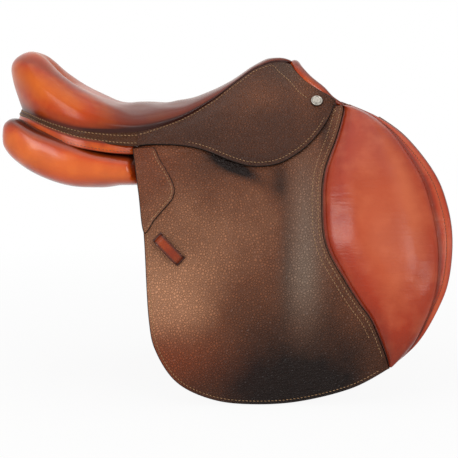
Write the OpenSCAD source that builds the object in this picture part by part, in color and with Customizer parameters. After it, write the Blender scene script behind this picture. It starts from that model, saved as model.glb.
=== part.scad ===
// Jumping saddle: tree, seat, skirts, flaps with padded knee pads, girth billets and panels.
// Millimetres. +X points to the horse's head, +Y to its left, +Z up.
// The origin is on the centreline, at the level where the panels rest on the horse.

/* [Seat] */
// Length of the seat leather, cantle to pommel
seat_l = 394; // [370:1:420]
// Half of the seat's greatest width, at its seam
seat_half_w = 115; // [105:1:125]
// Height of the seat's lowest seam point above the panels' rest
seat_base_z = 77; // [72:1:84]
// Rise from the lowest seam point to the cantle's top
seat_rise = 109; // [95:1:120]
// X of the cantle's back at the seam
seat_rear_x = -302; // [-315:1:-290]
// How far the cantle roll leans back past its seam
cantle_lean = 18.5; // [8:0.5:24]
// Thickness of the seat leather
seat_leather_t = 2.5; // [1.5:0.1:4]
// Thickness of the seat foam on the spine
foam_t = 22; // [16:1:26]

/* [Flap] */
// Width of the flap, rear edge to the front of the knee pad, as a share of the seat's length
flap_w_share = 1.1168; // [1.04:0.0004:1.2]
// Height of the flap, lowest point to its front top corner
flap_h = 410; // [380:1:430]
// Place of the flap's rear edge along the seat
flap_rear_share = 0.4213; // [0.4:0.0001:0.45]
// Z of the flap's front top corner
flap_top_z = 118; // [110:1:126]
// Thickness of the flap's base leather
flap_t = 4; // [3:0.1:5]
// Thickness of the grained grip leather on the flap
grip_t = 2.4; // [1.6:0.1:3.2]
// Thickness of the rear reinforcing patch
patch_t = 1.8; // [1.2:0.1:2.4]
// Radius of the barrel that flaps and skirts are bent to
barrel_r = 506; // [450:1:600]

/* [Flap hinge line] */
// Place along the seat of the middle of the line where flap and skirt bend
hinge_share = 0.7995; // [0.76:0.0005:0.83]
// Distance of that point from the centreline, as a share of the seat's half-width
hinge_y_share = 0.8435; // [0.8:0.0005:0.9]
// Height of that point
hinge_z = 86; // [82:1:90]
// Rise of the hinge line towards the pommel
hinge_tilt = 11.4; // [9:0.1:13]
// Angle by which the hinge line closes in towards the pommel
hinge_toe = 8.35; // [7:0.05:10]
// Lean of the leather from the vertical at the hinge line
hinge_lean = 36; // [32:0.5:40]

/* [Skirt] */
// Length of the free part of the skirt, as a share of the seat's length
skirt_w_share = 0.7005; // [0.65:0.0005:0.74]
// Height of the skirt's outline
skirt_h = 88; // [80:1:96]
// Place of the skirt's rear tip along the seat
skirt_rear_share = 0.4467; // [0.42:0.0001:0.48]
// Z of the skirt's lowest point
skirt_low_z = 30; // [22:1:36]
// Thickness of the skirt leather
skirt_t = 3.6; // [2.6:0.1:4.4]
// Radius of the nail head on the skirt
nail_r = 8.5; // [6:0.1:10]

/* [Knee pad] */
// Height of the knee pad's foam over the flap
pad_t = 15; // [8:0.5:22]
// Thickness of the knee pad's leather
pad_leather_t = 1.8; // [1.2:0.1:2.6]

/* [Girth billets] */
// Width of a billet
billet_w = 28; // [24:0.5:30]
// Thickness of a billet
billet_t = 4; // [3:0.1:5]
// Height from a billet's tip to its top
billet_l = 268; // [220:1:290]
// Place of the middle billet along the seat
billet_mid_share = 0.6447; // [0.62:0.0001:0.67]
// Distance between neighbouring billets, as a share of the seat's length
billet_pitch_share = 0.1066; // [0.096:0.0002:0.117]
// Radius of a punched buckle hole
hole_r = 2.5; // [2:0.1:3]
// Distance between buckle holes
hole_pitch = 25; // [20:0.5:28]
// Count of buckle holes in a billet
hole_count = 8; // [5:1:9]

/* [Panels] */
// Length of a panel, as a share of the seat's length
panel_l_share = 1.1929; // [1.11:0.0001:1.27]
// Half of a panel's greatest width
panel_half_w = 45; // [38:0.5:48]
// Half of a panel's greatest height
panel_half_h = 30; // [24:0.5:32]
// How far a panel's rear end stands behind the seat's
panel_behind = 19; // [10:1:33]
// Thickness of the sweat flap
sweat_t = 3.5; // [2.6:0.1:4.4]

/* [Stirrup bar] */
// Length of the stirrup bar behind its plate, as a share of the seat's length
bar_l_share = 0.1269; // [0.116:0.0001:0.137]
// Height of the stirrup bar
bar_h = 12; // [9:0.5:14]
// Thickness of the stirrup bar
bar_t = 6; // [5:0.2:7]
// Free gap between the stirrup bar and the tree
bar_gap = 7; // [6:0.5:8]
// Length of the safety catch behind its pin, as a share of the seat's length
catch_l_share = 0.0254; // [0.02:0.0001:0.031]
// Radius of the catch's hinge pin
pin_r = 1.6; // [1.2:0.1:2]

/* [Tree] */
// Width of the tree's rails
rail_w = 24; // [20:0.5:26]
// Thickness of the tree's rails
rail_t = 9; // [7:0.5:10]
// Thickness of the steel head plate
plate_t = 4; // [3:0.5:5]

/* [Keeper] */
// Length of the keeper loop
keeper_l = 48; // [40:1:54]
// Width of the keeper loop
keeper_w = 16; // [12:0.5:20]
// Clear height under the keeper loop
keeper_gap = 6.5; // [6:0.1:9]
// Thickness of the keeper's leather
keeper_t = 2.6; // [2:0.1:3.4]

/* [Hidden] */
$fn = 64;
barrel_fn = 240;
// Gap between leathers that are sewn together
fit_gap = 0.3;
// Gap on each side of a billet, so that it can swing
sway_gap = 1.2;
// Gap between the skirt and the grip leather under it
lift_gap = 0.6;
// How far a cut runs past the face it opens
cut = 1;
// Gap between the flap's or skirt's top edge and the hinge line
hinge_drop = 2.4;
// Gap between the fixed skirt's lower edge and the hinge line
hinge_rise = 0.2;
// Thickness of the linen webs, and their rise over the rail's sloping top
web_t = 2;
web_rise = 1.3;

// Places and lengths that go with the seat and the flap
flap_w = flap_w_share * seat_l;
flap_rear_x = seat_rear_x + flap_rear_share * seat_l;
hinge_x = seat_rear_x + hinge_share * seat_l;
skirt_w = skirt_w_share * seat_l;
skirt_rear_x = seat_rear_x + skirt_rear_share * seat_l;
billet_mid_x = seat_rear_x + billet_mid_share * seat_l;
billet_pitch = billet_pitch_share * seat_l;
panel_rear_x = seat_rear_x - panel_behind;
panel_l = panel_l_share * seat_l;
bar_l = bar_l_share * seat_l;
catch_l = catch_l_share * seat_l;
hinge_y = hinge_y_share * seat_half_w;
flap_low_z = flap_top_z - flap_h;

// Radii of the leather layers on the barrel, from the skirt inwards
skirt_in_r = barrel_r - skirt_t;
grip_out_r = skirt_in_r - lift_gap;
patch_in_r = grip_out_r + fit_gap;
patch_out_r = patch_in_r + patch_t;
grip_in_r = grip_out_r - grip_t;
flap_out_r = grip_in_r - fit_gap;
flap_in_r = flap_out_r - flap_t;
outer_billet_out_r = flap_in_r - sway_gap;
outer_billet_in_r = outer_billet_out_r - billet_t;
inner_billet_out_r = outer_billet_in_r - sway_gap;
inner_billet_in_r = inner_billet_out_r - billet_t;
sweat_out_r = inner_billet_in_r - sway_gap;
sweat_in_r = sweat_out_r - sweat_t;
// Centre of the barrel, so that the hinge line's middle lies on it
barrel_y = hinge_y - barrel_r * cos(hinge_lean);
barrel_z = hinge_z - barrel_r * sin(hinge_lean);

// Outlines of the flap, as shares of its width and height: back part up to the pad's foot,
// front part from there round the pad, and the grip leather's front edge.
flap_back_shares = [[0.004, 0.848], [0.024, 0.725], [0.046, 0.56], [0.062, 0.29], [0.085, 0.178],
    [0.15, 0.074], [0.26, 0.016], [0.386, 0], [0.53, 0.011], [0.69, 0.057], [0.805, 0.126]];
flap_front_shares = [[0.805, 0.126], [0.892, 0.213], [0.957, 0.332], [0.988, 0.426], [1, 0.556],
    [0.986, 0.668], [0.95, 0.768], [0.87, 0.878], [0.786, 0.944], [0.697, 0.986]];
grip_edge_shares = [[0.805, 0.126], [0.785, 0.19], [0.748, 0.284], [0.709, 0.343], [0.667, 0.412],
    [0.608, 0.53], [0.597, 0.655], [0.607, 0.765], [0.65, 0.88], [0.676, 0.965], [0.672, 0.986]];
sweat_shares = [[0.06, 0.82], [0.072, 0.6], [0.09, 0.29], [0.115, 0.178], [0.18, 0.08], [0.28, 0.03],
    [0.386, 0.018], [0.53, 0.03], [0.69, 0.075], [0.79, 0.14], [0.86, 0.235], [0.93, 0.345],
    [0.972, 0.44], [0.992, 0.556], [0.988, 0.668], [0.954, 0.768], [0.874, 0.88], [0.79, 0.948]];
// Edge of the reinforcing patch, as shares of the flap
patch_shares = [[0.0045, 0.848], [0.068, 0.848], [0.093, 0.806], [0.116, 0.769], [0.136, 0.727],
    [0.14, 0.705], [0.134, 0.68], [0.114, 0.654], [0.08, 0.613], [0.046, 0.572], [0.027, 0.7]];
// Middle of the keeper loop, as shares of the flap, and its turn
keeper_share = [0.1245, 0.519];
keeper_turn = -45;
// Width of the keeper's sewn feet, as a share of its length
keeper_foot_share = 0.11;
// Lower edge of the skirt, as shares of its length and height
skirt_edge_shares = [[0, 0.317], [0.073, 0.333], [0.192, 0.323], [0.291, 0.281], [0.368, 0.206],
    [0.445, 0.11], [0.529, 0.026], [0.598, 0], [0.681, 0.026], [0.752, 0.11], [0.837, 0.281],
    [0.909, 0.503], [0.969, 0.77], [0.993, 0.96], [0.98, 1.08]];

// Rows of the seat from pommel to cantle: edge x, edge half-width, seam height, rim height,
// spine x and spine height, as shares of the seat's length, half-width and rise.
seat_shares = [[1, 0, 0.835, 0.9, 0.94, 0.93], [0.995, 0.104, 0.853, 0.927, 0.935, 0.93],
    [0.97, 0.165, 0.885, 0.95, 0.925, 0.929], [0.924, 0.183, 0.88, 0.932, 0.905, 0.915],
    [0.886, 0.196, 0.835, 0.876, 0.88, 0.872], [0.845, 0.235, 0.761, 0.8, 0.845, 0.8],
    [0.779, 0.348, 0.587, 0.638, 0.779, 0.638], [0.703, 0.478, 0.376, 0.5, 0.703, 0.5],
    [0.591, 0.661, 0.147, 0.367, 0.591, 0.367], [0.464, 0.87, 0.018, 0.324, 0.464, 0.321],
    [0.386, 0.957, 0, 0.367, 0.386, 0.335], [0.305, 1, 0.018, 0.495, 0.305, 0.394],
    [0.223, 0.974, 0.055, 0.63, 0.236, 0.48], [0.14, 0.852, 0.128, 0.8, 0.197, 0.545],
    [0.081, 0.696, 0.193, 0.92, 0.178, 0.58], [0.038, 0.487, 0.239, 0.99, 0.165, 0.606],
    [0.01, 0.261, 0.261, 1.02, 0.156, 0.625], [0, 0, 0.266, 1.03, 0.15, 0.64]];
// How much of the cantle's lean each seat row takes
lean_shares = [0.25, 0.2, 0, 0, 0, 0, 0, 0.1, 0.2, 0.3, 0.4, 0.5, 0.7, 0.85, 0.95, 1, 1, 1];
// How much of the cantle's squareness the roll of each seat row takes
square_shares = [0, 0, 0, 0, 0, 0, 0, 0, 0, 0, 0, 0, 0, 0.03, 0.12, 0.4, 0.85, 1];
// Roundness of the seat's edge roll, how much squarer it and the dish get at the cantle,
// and the shape of the roll's lean
seat_roll_power = 2.6;
cantle_roll_power = 11;
cantle_dish_power = 4;
lean_power = 6;
lean_gain_share = 1.6;
// Front edge of the skirt beside the pommel: x, half-width and height in shares of the seat
pommel_shares = [[0.992, 0.25, 0.85], [1.024, 0.39, 0.706], [1.08, 0.539, 0.546],
    [1.13, 0.64, 0.437], [1.147, 0.69, 0.365]];
// Path of the pommel's padded facing, in shares of the seat
facing_path_shares = [[1.03, 0, 0.789], [1.033, 0.122, 0.78], [1.043, 0.278, 0.716],
    [1.071, 0.404, 0.615], [1.107, 0.491, 0.514], [1.128, 0.53, 0.45], [1.145, 0.561, 0.394]];
// Path of the tree's rail from head to cantle, in shares of the seat
rail_path_shares = [[0.944, 0, 0.636], [0.949, 0.2, 0.61], [0.98, 0.33, 0.42], [0.9, 0.36, 0.26],
    [0.77, 0.42, 0.09], [0.62, 0.57, -0.03], [0.46, 0.7, -0.12], [0.31, 0.78, -0.07],
    [0.17, 0.74, 0.03], [0.085, 0.45, 0.16], [0.056, 0, 0.24]];
// Path of the head plate's middle, in shares of the seat
plate_path_shares = [[1.009, 0, 0.665], [1.021, 0.19, 0.605], [1.045, 0.33, 0.45], [1.063, 0.425, 0.25],
    [1.077, 0.505, 0.03], [1.084, 0.575, -0.19]];
// Rows of a panel: x, middle, height, half-width and half-height, in shares of the panel's sizes
panel_shares = [[0, 1.47, 2.2, 0.09, 0.12], [0.011, 1.47, 2.17, 0.49, 0.57],
    [0.045, 1.54, 1.95, 0.75, 0.86], [0.11, 1.69, 1.49, 0.93, 0.95], [0.2, 1.77, 1.04, 1, 0.97],
    [0.296, 1.78, 0.85, 1, 0.85], [0.385, 1.78, 0.74, 0.98, 0.73], [0.51, 1.78, 0.69, 0.93, 0.67],
    [0.68, 1.82, 0.66, 0.88, 0.63], [0.83, 1.91, 0.64, 0.84, 0.63], [0.93, 2.04, 0.6, 0.71, 0.6],
    [0.98, 2.15, 0.57, 0.44, 0.43], [1, 2.2, 0.57, 0.09, 0.13]];
// Squareness of a panel's section
panel_square = 2.7;

// Smooth line through points, with n steps in each span
function span(a, b, c, d, t) = b + (c - a) * t / 2
    + (2 * a - 5 * b + 4 * c - d) * t * t / 2 + (3 * b - a - 3 * c + d) * t * t * t / 2;
function end_at(p, i) = p[min(max(i, 0), len(p) - 1)];
function smooth(p, n) = concat([for (i = [0:len(p) - 2], k = [0:n - 1])
    span(end_at(p, i - 1), p[i], p[i + 1], end_at(p, i + 2), k / n)], [p[len(p) - 1]]);
function along(p, s) = let (i = min(floor(s), len(p) - 2))
    span(end_at(p, i - 1), p[i], p[i + 1], end_at(p, i + 2), s - i);
function unit(v) = v / norm(v);
function mirrored(p) = [p[0], -p[1] + 0, p[2]];
function whole_arch(half) = concat([for (i = [len(half) - 1:-1:1]) mirrored(half[i])], half);

// Places on the flap, the skirt, the seat and the barrel
function on_flap(s) = [flap_rear_x + s[0] * flap_w, flap_low_z + s[1] * flap_h];
function on_skirt(s) = [skirt_rear_x + s[0] * skirt_w, skirt_low_z + s[1] * skirt_h];
function on_seat(s) = [seat_rear_x + s[0] * seat_l, s[1] * seat_half_w, seat_base_z + s[2] * seat_rise];
function barrel_at(x, z, r) = [x, barrel_y + sqrt(r * r - (z - barrel_z) * (z - barrel_z)), z];
function hinge_at(x) =
    [x, hinge_y - tan(hinge_toe) * (x - hinge_x), hinge_z + tan(hinge_tilt) * (x - hinge_x)];
flap_back = [for (s = smooth(flap_back_shares, 4)) on_flap(s)];
flap_front = [for (s = smooth(flap_front_shares, 4)) on_flap(s)];
grip_edge = [for (s = smooth(grip_edge_shares, 4)) on_flap(s)];

// Solid between two grids of points with the same rows and columns
function quad(a, b, c, d) = [[a, b, c], [a, c, d]];
module between(top, low, open_rows = false) {
    m = len(top);
    n = len(top[0]);
    rows = concat(top, low);
    points = [for (r = rows) each r];
    skin = [for (i = [0:m - 2], j = [0:n - 2])
        each quad(i * n + j, i * n + j + 1, (i + 1) * n + j + 1, (i + 1) * n + j)];
    floor_skin = [for (i = [m:2 * m - 2], j = [0:n - 2])
        each quad(i * n + j, (i + 1) * n + j, (i + 1) * n + j + 1, i * n + j + 1)];
    sides = [for (i = [0:m - 2]) each concat(
        quad(i * n, (i + 1) * n, (m + i + 1) * n, (m + i) * n),
        quad(i * n + n - 1, (m + i) * n + n - 1, (m + i + 1) * n + n - 1, (i + 1) * n + n - 1))];
    ends = open_rows ? [] : [for (j = [0:n - 2]) each concat(
        quad(j, m * n + j, m * n + j + 1, j + 1),
        quad((m - 1) * n + j, (m - 1) * n + j + 1, (2 * m - 1) * n + j + 1, (2 * m - 1) * n + j))];
    polyhedron(points, concat(skin, floor_skin, sides, ends));
}

// Solid skinned over rings of points, closed on itself or with two flat ends
module skinned(rings, closed = false) {
    m = len(rings);
    n = len(rings[0]);
    skin = [for (i = [0:closed ? m - 1 : m - 2], j = [0:n - 1])
        each quad(i * n + j, i * n + (j + 1) % n, ((i + 1) % m) * n + (j + 1) % n, ((i + 1) % m) * n + j)];
    caps = closed ? [] : [[for (j = [n - 1:-1:0]) j], [for (j = [0:n - 1]) (m - 1) * n + j]];
    polyhedron([for (r = rings) each r], concat(skin, caps));
}

// Rings of a flat section carried along a path; lift moves it along its own normal
function ahead(p, i, closed) = closed ? p[(i + 1) % len(p)] - p[(i + len(p) - 1) % len(p)]
    : end_at(p, i + 1) - end_at(p, i - 1);
function section(p, i, w, t, lift, closed) = let (
    go = unit(ahead(p, i, closed)), across = unit(cross([0, 0, 1], go)), up = cross(go, across))
    [for (c = [[-w, lift - t / 2], [-w, lift + t / 2], [w, lift + t / 2], [w, lift - t / 2]])
        p[i] + across * c[0] / 2 + up * c[1]];

// One side's piece for the left; the right is its mirror image
module on_side(side) {
    if (side > 0) children();
    else mirror([0, 1, 0]) children();
}

// Leather bent to the barrel, cut to a side-view outline
module bent_sheet(in_r, out_r) {
    intersection() {
        translate([0, barrel_y, barrel_z]) rotate([0, 90, 0]) difference() {
            cylinder(r = out_r, h = barrel_r * 2, center = true, $fn = barrel_fn);
            cylinder(r = in_r, h = barrel_r * 2 + cut, center = true, $fn = barrel_fn);
        }
        translate([0, barrel_r, 0]) rotate([90, 0, 0]) linear_extrude(barrel_r) children();
    }
}
module below_hinge(drop) {
    translate([hinge_x, hinge_z]) rotate(hinge_tilt)
        translate([-barrel_r, -barrel_r * 2 - drop]) square(barrel_r * 2);
}

// Seat: rows run from pommel to cantle, columns from one edge over the spine to the other
seat_steps = [for (i = [0:2 * len(seat_shares) - 2]) i / 2];
seat_columns = [1, 0.985, 0.94, 0.86, 0.74, 0.52, 0.26, 0, -0.26, -0.52, -0.74, -0.86, -0.94, -0.985, -1];
// Depth of the foam's edge below the seam
foam_edge = 3;
function seat_row(s) = s == floor(s) ? seat_shares[s] : along(seat_shares, s);
function seat_edge(s) = let (r = seat_row(s)) on_seat([r[0], r[1], r[2]]);
function seat_mid(s) = let (r = seat_row(s)) on_seat([r[4], 0, r[5]]);
function edge_way(s) = let (e = seat_edge(s), m = seat_mid(s)) [e[0] - m[0], e[1], 0];
function roll_up(s, c) =
    sqrt(max(0, 1 - pow(abs(c), seat_roll_power + cantle_roll_power * along(square_shares, s))));
function dish(s, c) = pow(1 - c * c, 2 + cantle_dish_power * along(lean_shares, s));
function lean_out(s, h) = cantle_lean * along(lean_shares, s) * lean_gain_share
    * h * (1 - pow(h, lean_power));
function seat_flat(s, c, inset) = let (way = edge_way(s), m = seat_mid(s), far = norm(way),
    reach = abs(c) * (far - inset + lean_out(s, roll_up(s, c))) / far)
    [m[0] + way[0] * reach, (c < 0 ? -1 : 1) * way[1] * reach + 0];
function seat_top(s, c, inset) = let (p = seat_flat(s, c, inset), r = seat_row(s), h = roll_up(s, c))
    [p[0], p[1],
        seat_base_z + seat_rise * (r[2] + (r[3] - r[2]) * h - (r[3] - r[5]) * dish(s, c)) - inset * h];
function seat_low(s, c, inset) = let (way = edge_way(s), e = seat_edge(s), m = seat_mid(s),
    reach = abs(c) * (norm(way) - inset) / norm(way))
    [m[0] + way[0] * reach, (c < 0 ? -1 : 1) * way[1] * reach + 0,
        (e[2] - foam_edge) * c * c + (m[2] - foam_t) * (1 - c * c)];
foam_inset = seat_leather_t + fit_gap;

module seat_cover() {
    color("#C0532A") between(
        [for (s = seat_steps) [for (c = seat_columns) seat_top(s, c, 0)]],
        [for (s = seat_steps) [for (c = seat_columns) seat_top(s, c, seat_leather_t)]], true);
}
module seat_foam() {
    color("#E5DCC0") between(
        [for (s = seat_steps) [for (c = seat_columns) seat_top(s, c, foam_inset)]],
        [for (s = seat_steps) [for (c = seat_columns) seat_low(s, c, foam_inset)]], true);
}

// Tree: a ring of laminated wood, head to cantle and back, with springs under its rails
rail_half = [for (s = smooth(rail_path_shares, 3)) on_seat(s)];
rail_path = concat(rail_half, [for (i = [len(rail_half) - 2:-1:1]) mirrored(rail_half[i])]);
// Size of the steel springs and of their rivet heads
spring_w = 14;
spring_t = 2;
rivet_r = 3.5;
rivet_t = 2;
// Ends of the springs, as shares of the rail's path
spring_first_share = 0.2667;
spring_last_share = 0.7333;
spring_first = round(spring_first_share * (len(rail_half) - 1));
spring_last = round(spring_last_share * (len(rail_half) - 1));
spring_lift = -(rail_t + spring_t) / 2 - fit_gap;
rivet_places = [spring_first + 1, (spring_first + spring_last) / 2, spring_last - 1];
module saddle_tree() {
    color("#B98A55") skinned([for (i = [0:len(rail_path) - 1])
        section(rail_path, i, rail_w, rail_t, 0, true)], true);
}
module tree_springs() {
    color("#6E7276") for (side = [-1, 1]) on_side(side)
        skinned([for (i = [spring_first:spring_last])
            section(rail_path, i, spring_w, spring_t, spring_lift, true)]);
}
module spring_rivets() {
    color("#8C9094") for (side = [-1, 1], i = rivet_places) on_side(side) {
        go = unit(ahead(rail_path, i, true));
        up = cross(go, unit(cross([0, 0, 1], go)));
        translate(rail_path[i] + up * (spring_lift - spring_t / 2 - fit_gap))
            rotate(a = acos(up[2]), v = cross([0, 0, 1], up))
            translate([0, 0, -rivet_t]) cylinder(r = rivet_r, h = rivet_t);
    }
}

// Steel head plate, an arch that stands on its two points in front of the tree's head
plate_w = 25;
module head_plate() {
    path = whole_arch([for (s = smooth(plate_path_shares, 3)) on_seat(s)]);
    color("#6E7276") skinned([for (i = [0:len(path) - 1]) section(path, i, plate_w, plate_t, 0, false)]);
}

// Web of linen from the tree's head to its cantle, under the seat foam
strain_w = 44;
// Drop of the web's flat top below the foam's arched underside
strain_drop = 2;
// Row of the seat, as a share of its rows, where the web leaves the foam for the cantle
strain_last_share = 0.706;
strain_last = strain_last_share * (len(seat_shares) - 1);
module straining_web() {
    spine = [for (s = seat_steps) if (s <= strain_last)
        seat_mid(s) - [0, 0, foam_t + strain_drop + web_t / 2]];
    cantle = rail_half[len(rail_half) - 1] + [0, 0, (rail_t + web_t) / 2 + web_rise];
    path = concat(spine, [cantle]);
    color("#D9CFB4") skinned([for (i = [0:len(path) - 1]) section(path, i, strain_w, web_t, 0, false)]);
}

// Girth webs: each lies over both rails and holds a billet at either end
// Drop of a billet's top, and of the sweat flap's top, below the hinge line
billet_drop = 14;
sweat_drop = 31;
// Length of billet that lies on its web, and the web's width
web_lap = 12;
web_w = 24;
function rail_y(x) = lookup(x, [for (p = rail_half) if (p[2] < hinge_z + rail_w) [p[0], p[1]]]);
function rail_z(x) = lookup(x, [for (p = rail_half) if (p[2] < hinge_z + rail_w) [p[0], p[2]]]);
function billet_top(x) = hinge_at(x)[2] - billet_drop;
function web_low(x, mid, in_r) = let (top = billet_top(mid), r = in_r - 1.5 * fit_gap - web_t,
    end = barrel_at(x, top - web_lap, r), lap = barrel_at(x, top, r),
    knee = [x, rail_y(x) + rail_w / 2 + web_t, rail_z(x) + rail_t / 2 + web_rise])
    [end, lap, knee, mirrored(knee), mirrored(lap), mirrored(end)];
function web_top(x, mid, in_r) = let (top = billet_top(mid), r = in_r - 1.5 * fit_gap,
    end = barrel_at(x, top - web_lap, r), lap = barrel_at(x, top, r),
    knee = [x, rail_y(x) + rail_w / 2 + 2 * web_t, rail_z(x) + rail_t / 2 + web_rise + web_t])
    [end, lap, knee, mirrored(knee), mirrored(lap), mirrored(end)];
module girth_web(mid, in_r) {
    xs = [for (k = [1:-0.5:-1]) mid + k * web_w / 2];
    color("#D9CFB4") between([for (x = xs) web_top(x, mid, in_r)], [for (x = xs) web_low(x, mid, in_r)]);
}
module girth_web_front() { girth_web(billet_mid_x + billet_pitch, inner_billet_in_r); }
module girth_web_middle() { girth_web(billet_mid_x, outer_billet_in_r); }
module girth_web_rear() { girth_web(billet_mid_x - billet_pitch, inner_billet_in_r); }

// Billet: a strap bent to the barrel, with a row of buckle holes punched square to it
// Distance of the lowest hole from the tip, and length of the pointed tip
hole_start = 40;
tip_l = 16;
module billet(mid, in_r, side) {
    top = billet_top(mid);
    tip = top - billet_l;
    mid_r = in_r + billet_t / 2;
    tip_turn = asin((tip + hole_start - barrel_z) / mid_r);
    color("#2A1B14") on_side(side) difference() {
        bent_sheet(in_r, in_r + billet_t)
            polygon([[mid - billet_w / 2, top], [mid - billet_w / 2, tip + tip_l],
            [mid - billet_w / 4, tip], [mid + billet_w / 4, tip], [mid + billet_w / 2, tip + tip_l],
            [mid + billet_w / 2, top]]);
        for (i = [0:hole_count - 1])
            translate([mid, barrel_y, barrel_z]) rotate([tip_turn + i * hole_pitch / mid_r * 180 / PI, 0, 0])
                translate([0, in_r - cut, 0]) rotate([-90, 0, 0])
                    cylinder(r = hole_r, h = billet_t + 2 * cut);
    }
}
module billet_front_left() { billet(billet_mid_x + billet_pitch, inner_billet_in_r, 1); }
module billet_front_right() { billet(billet_mid_x + billet_pitch, inner_billet_in_r, -1); }
module billet_middle_left() { billet(billet_mid_x, outer_billet_in_r, 1); }
module billet_middle_right() { billet(billet_mid_x, outer_billet_in_r, -1); }
module billet_rear_left() { billet(billet_mid_x - billet_pitch, inner_billet_in_r, 1); }
module billet_rear_right() { billet(billet_mid_x - billet_pitch, inner_billet_in_r, -1); }

// Stirrup bar: plate riveted to the tree, post, bar, and a hinged safety catch at its open end
bar_share = [0.985, 0.455, 0.3];
bar_plate_l_share = 0.0711;
bar_plate_l = bar_plate_l_share * seat_l;
bar_plate_h = 20;
bar_plate_t = 4;
bar_post_l = 9;
tongue_t = 2;
catch_h = 8;
// Side gap of the catch, running gap of its bore, and seating gap of its pin
run_gap = 0.12;
pin_run = 0.06;
pin_gap = 0.02;
bar_rivet_r = 2.5;
bar_rivet_spread_share = 0.28;
bar_out = bar_plate_t + bar_gap;
pin_x = -bar_plate_l / 2 - bar_l;
catch_from = bar_h / 2 + 4 * run_gap;
module at_bar(side) {
    on_side(side) translate(on_seat(bar_share)) rotate([0, -hinge_tilt, 0]) children();
}
module at_pin(side) {
    at_bar(side) translate([pin_x, bar_out + bar_t / 2, 0]) rotate([90, 0, 0]) children();
}
module bar_rivet_places() {
    for (k = [-1, 1]) translate([bar_plate_l / 4, 0, k * bar_plate_h * bar_rivet_spread_share])
        rotate([-90, 0, 0]) children();
}
module stirrup_bar(side) {
    color("#9A9DA0") difference() {
        at_bar(side) union() {
            translate([-bar_plate_l / 2, 0, -bar_plate_h / 2]) cube([bar_plate_l, bar_plate_t, bar_plate_h]);
            translate([-bar_plate_l / 2, 0, -bar_h / 2]) cube([bar_post_l, bar_out + bar_t, bar_h]);
            translate([pin_x, bar_out, -bar_h / 2]) cube([bar_l + bar_post_l, bar_t, bar_h]);
            translate([pin_x, bar_out + bar_t, 0]) rotate([90, 0, 0]) cylinder(r = bar_h / 2, h = bar_t);
        }
        at_bar(side) translate([pin_x - bar_h, bar_out + (bar_t - tongue_t) / 2 - run_gap, -bar_h])
            cube([bar_h * 1.5 + run_gap, tongue_t + 2 * run_gap, bar_h * 2]);
        at_pin(side) cylinder(r = pin_r + pin_gap, h = bar_t + 2 * cut, center = true);
        at_bar(side) translate([0, -cut, 0]) bar_rivet_places()
            cylinder(r = bar_rivet_r + pin_gap, h = bar_plate_t + 2 * cut);
    }
}
module stirrup_bar_left() { stirrup_bar(1); }
module stirrup_bar_right() { stirrup_bar(-1); }
module bar_rivets() {
    color("#8C9094") for (side = [-1, 1]) at_bar(side) bar_rivet_places() {
        cylinder(r = bar_rivet_r, h = bar_plate_t + pin_gap);
        translate([0, 0, bar_plate_t + pin_gap]) cylinder(r = bar_rivet_r * 1.6, h = rivet_t);
    }
}
module catch_pins() {
    color("#8C9094") for (side = [-1, 1]) at_pin(side) cylinder(r = pin_r, h = bar_t, center = true);
}
module bar_catch(side) {
    color("#9A9DA0") difference() {
        union() {
            at_pin(side) cylinder(r = bar_h / 2 - run_gap * 2, h = tongue_t, center = true);
            at_bar(side) translate([pin_x - catch_from - catch_l, bar_out, -catch_h / 2])
                cube([catch_l, bar_t, catch_h]);
            at_bar(side) translate([pin_x - catch_from - catch_l / 2,
                bar_out + (bar_t - tongue_t) / 2, -catch_h / 2])
                cube([catch_from + catch_l / 2, tongue_t, catch_h]);
        }
        at_pin(side) cylinder(r = pin_r + pin_run, h = bar_t + 2 * cut, center = true);
    }
}
module bar_catch_left() { bar_catch(1); }
module bar_catch_right() { bar_catch(-1); }

// Flap and the leathers sewn on it
module flap(side) {
    color("#5A2A18") on_side(side) bent_sheet(flap_in_r, flap_out_r) intersection() {
        polygon(concat(flap_back, flap_front));
        below_hinge(hinge_drop);
    }
}
module flap_left() { flap(1); }
module flap_right() { flap(-1); }
module grip(side) {
    color("#4A3022") on_side(side) bent_sheet(grip_in_r, grip_out_r) intersection() {
        polygon(concat(flap_back, [for (i = [1:len(grip_edge) - 1]) grip_edge[i]]));
        below_hinge(hinge_drop);
    }
}
module grip_left() { grip(1); }
module grip_right() { grip(-1); }
module flap_patch(side) {
    color("#4A3022") on_side(side) bent_sheet(patch_in_r, patch_out_r) intersection() {
        polygon([for (s = smooth(patch_shares, 3)) on_flap(s)]);
        below_hinge(hinge_drop);
    }
}
module flap_patch_left() { flap_patch(1); }
module flap_patch_right() { flap_patch(-1); }
keeper_in_r = grip_out_r + fit_gap;
module keeper(side) {
    tunnel_l = keeper_l * (1 - 2 * keeper_foot_share);
    color("#C0532A") on_side(side) difference() {
        bent_sheet(keeper_in_r, keeper_in_r + keeper_gap + keeper_t)
            translate(on_flap(keeper_share)) rotate(keeper_turn) square([keeper_l, keeper_w], center = true);
        bent_sheet(keeper_in_r - cut, keeper_in_r + keeper_gap)
            translate(on_flap(keeper_share)) rotate(keeper_turn)
                square([tunnel_l, keeper_w + 2 * cut], center = true);
    }
}
module keeper_left() { keeper(1); }
module keeper_right() { keeper(-1); }

// Knee pad: rows run up the pad, columns from the grip leather's edge to the flap's front edge
pad_rows = [0.015, 0.03, 0.06, 0.1, 0.15, 0.2, 0.26, 0.32, 0.38, 0.44, 0.5, 0.56, 0.62, 0.68, 0.74,
    0.8, 0.85, 0.9, 0.94, 0.97, 0.985];
pad_columns = [0.012, 0.03, 0.05, 0.08, 0.13, 0.2, 0.32, 0.46, 0.6, 0.7, 0.77, 0.82, 0.85, 0.87, 0.93, 0.995];
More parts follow.
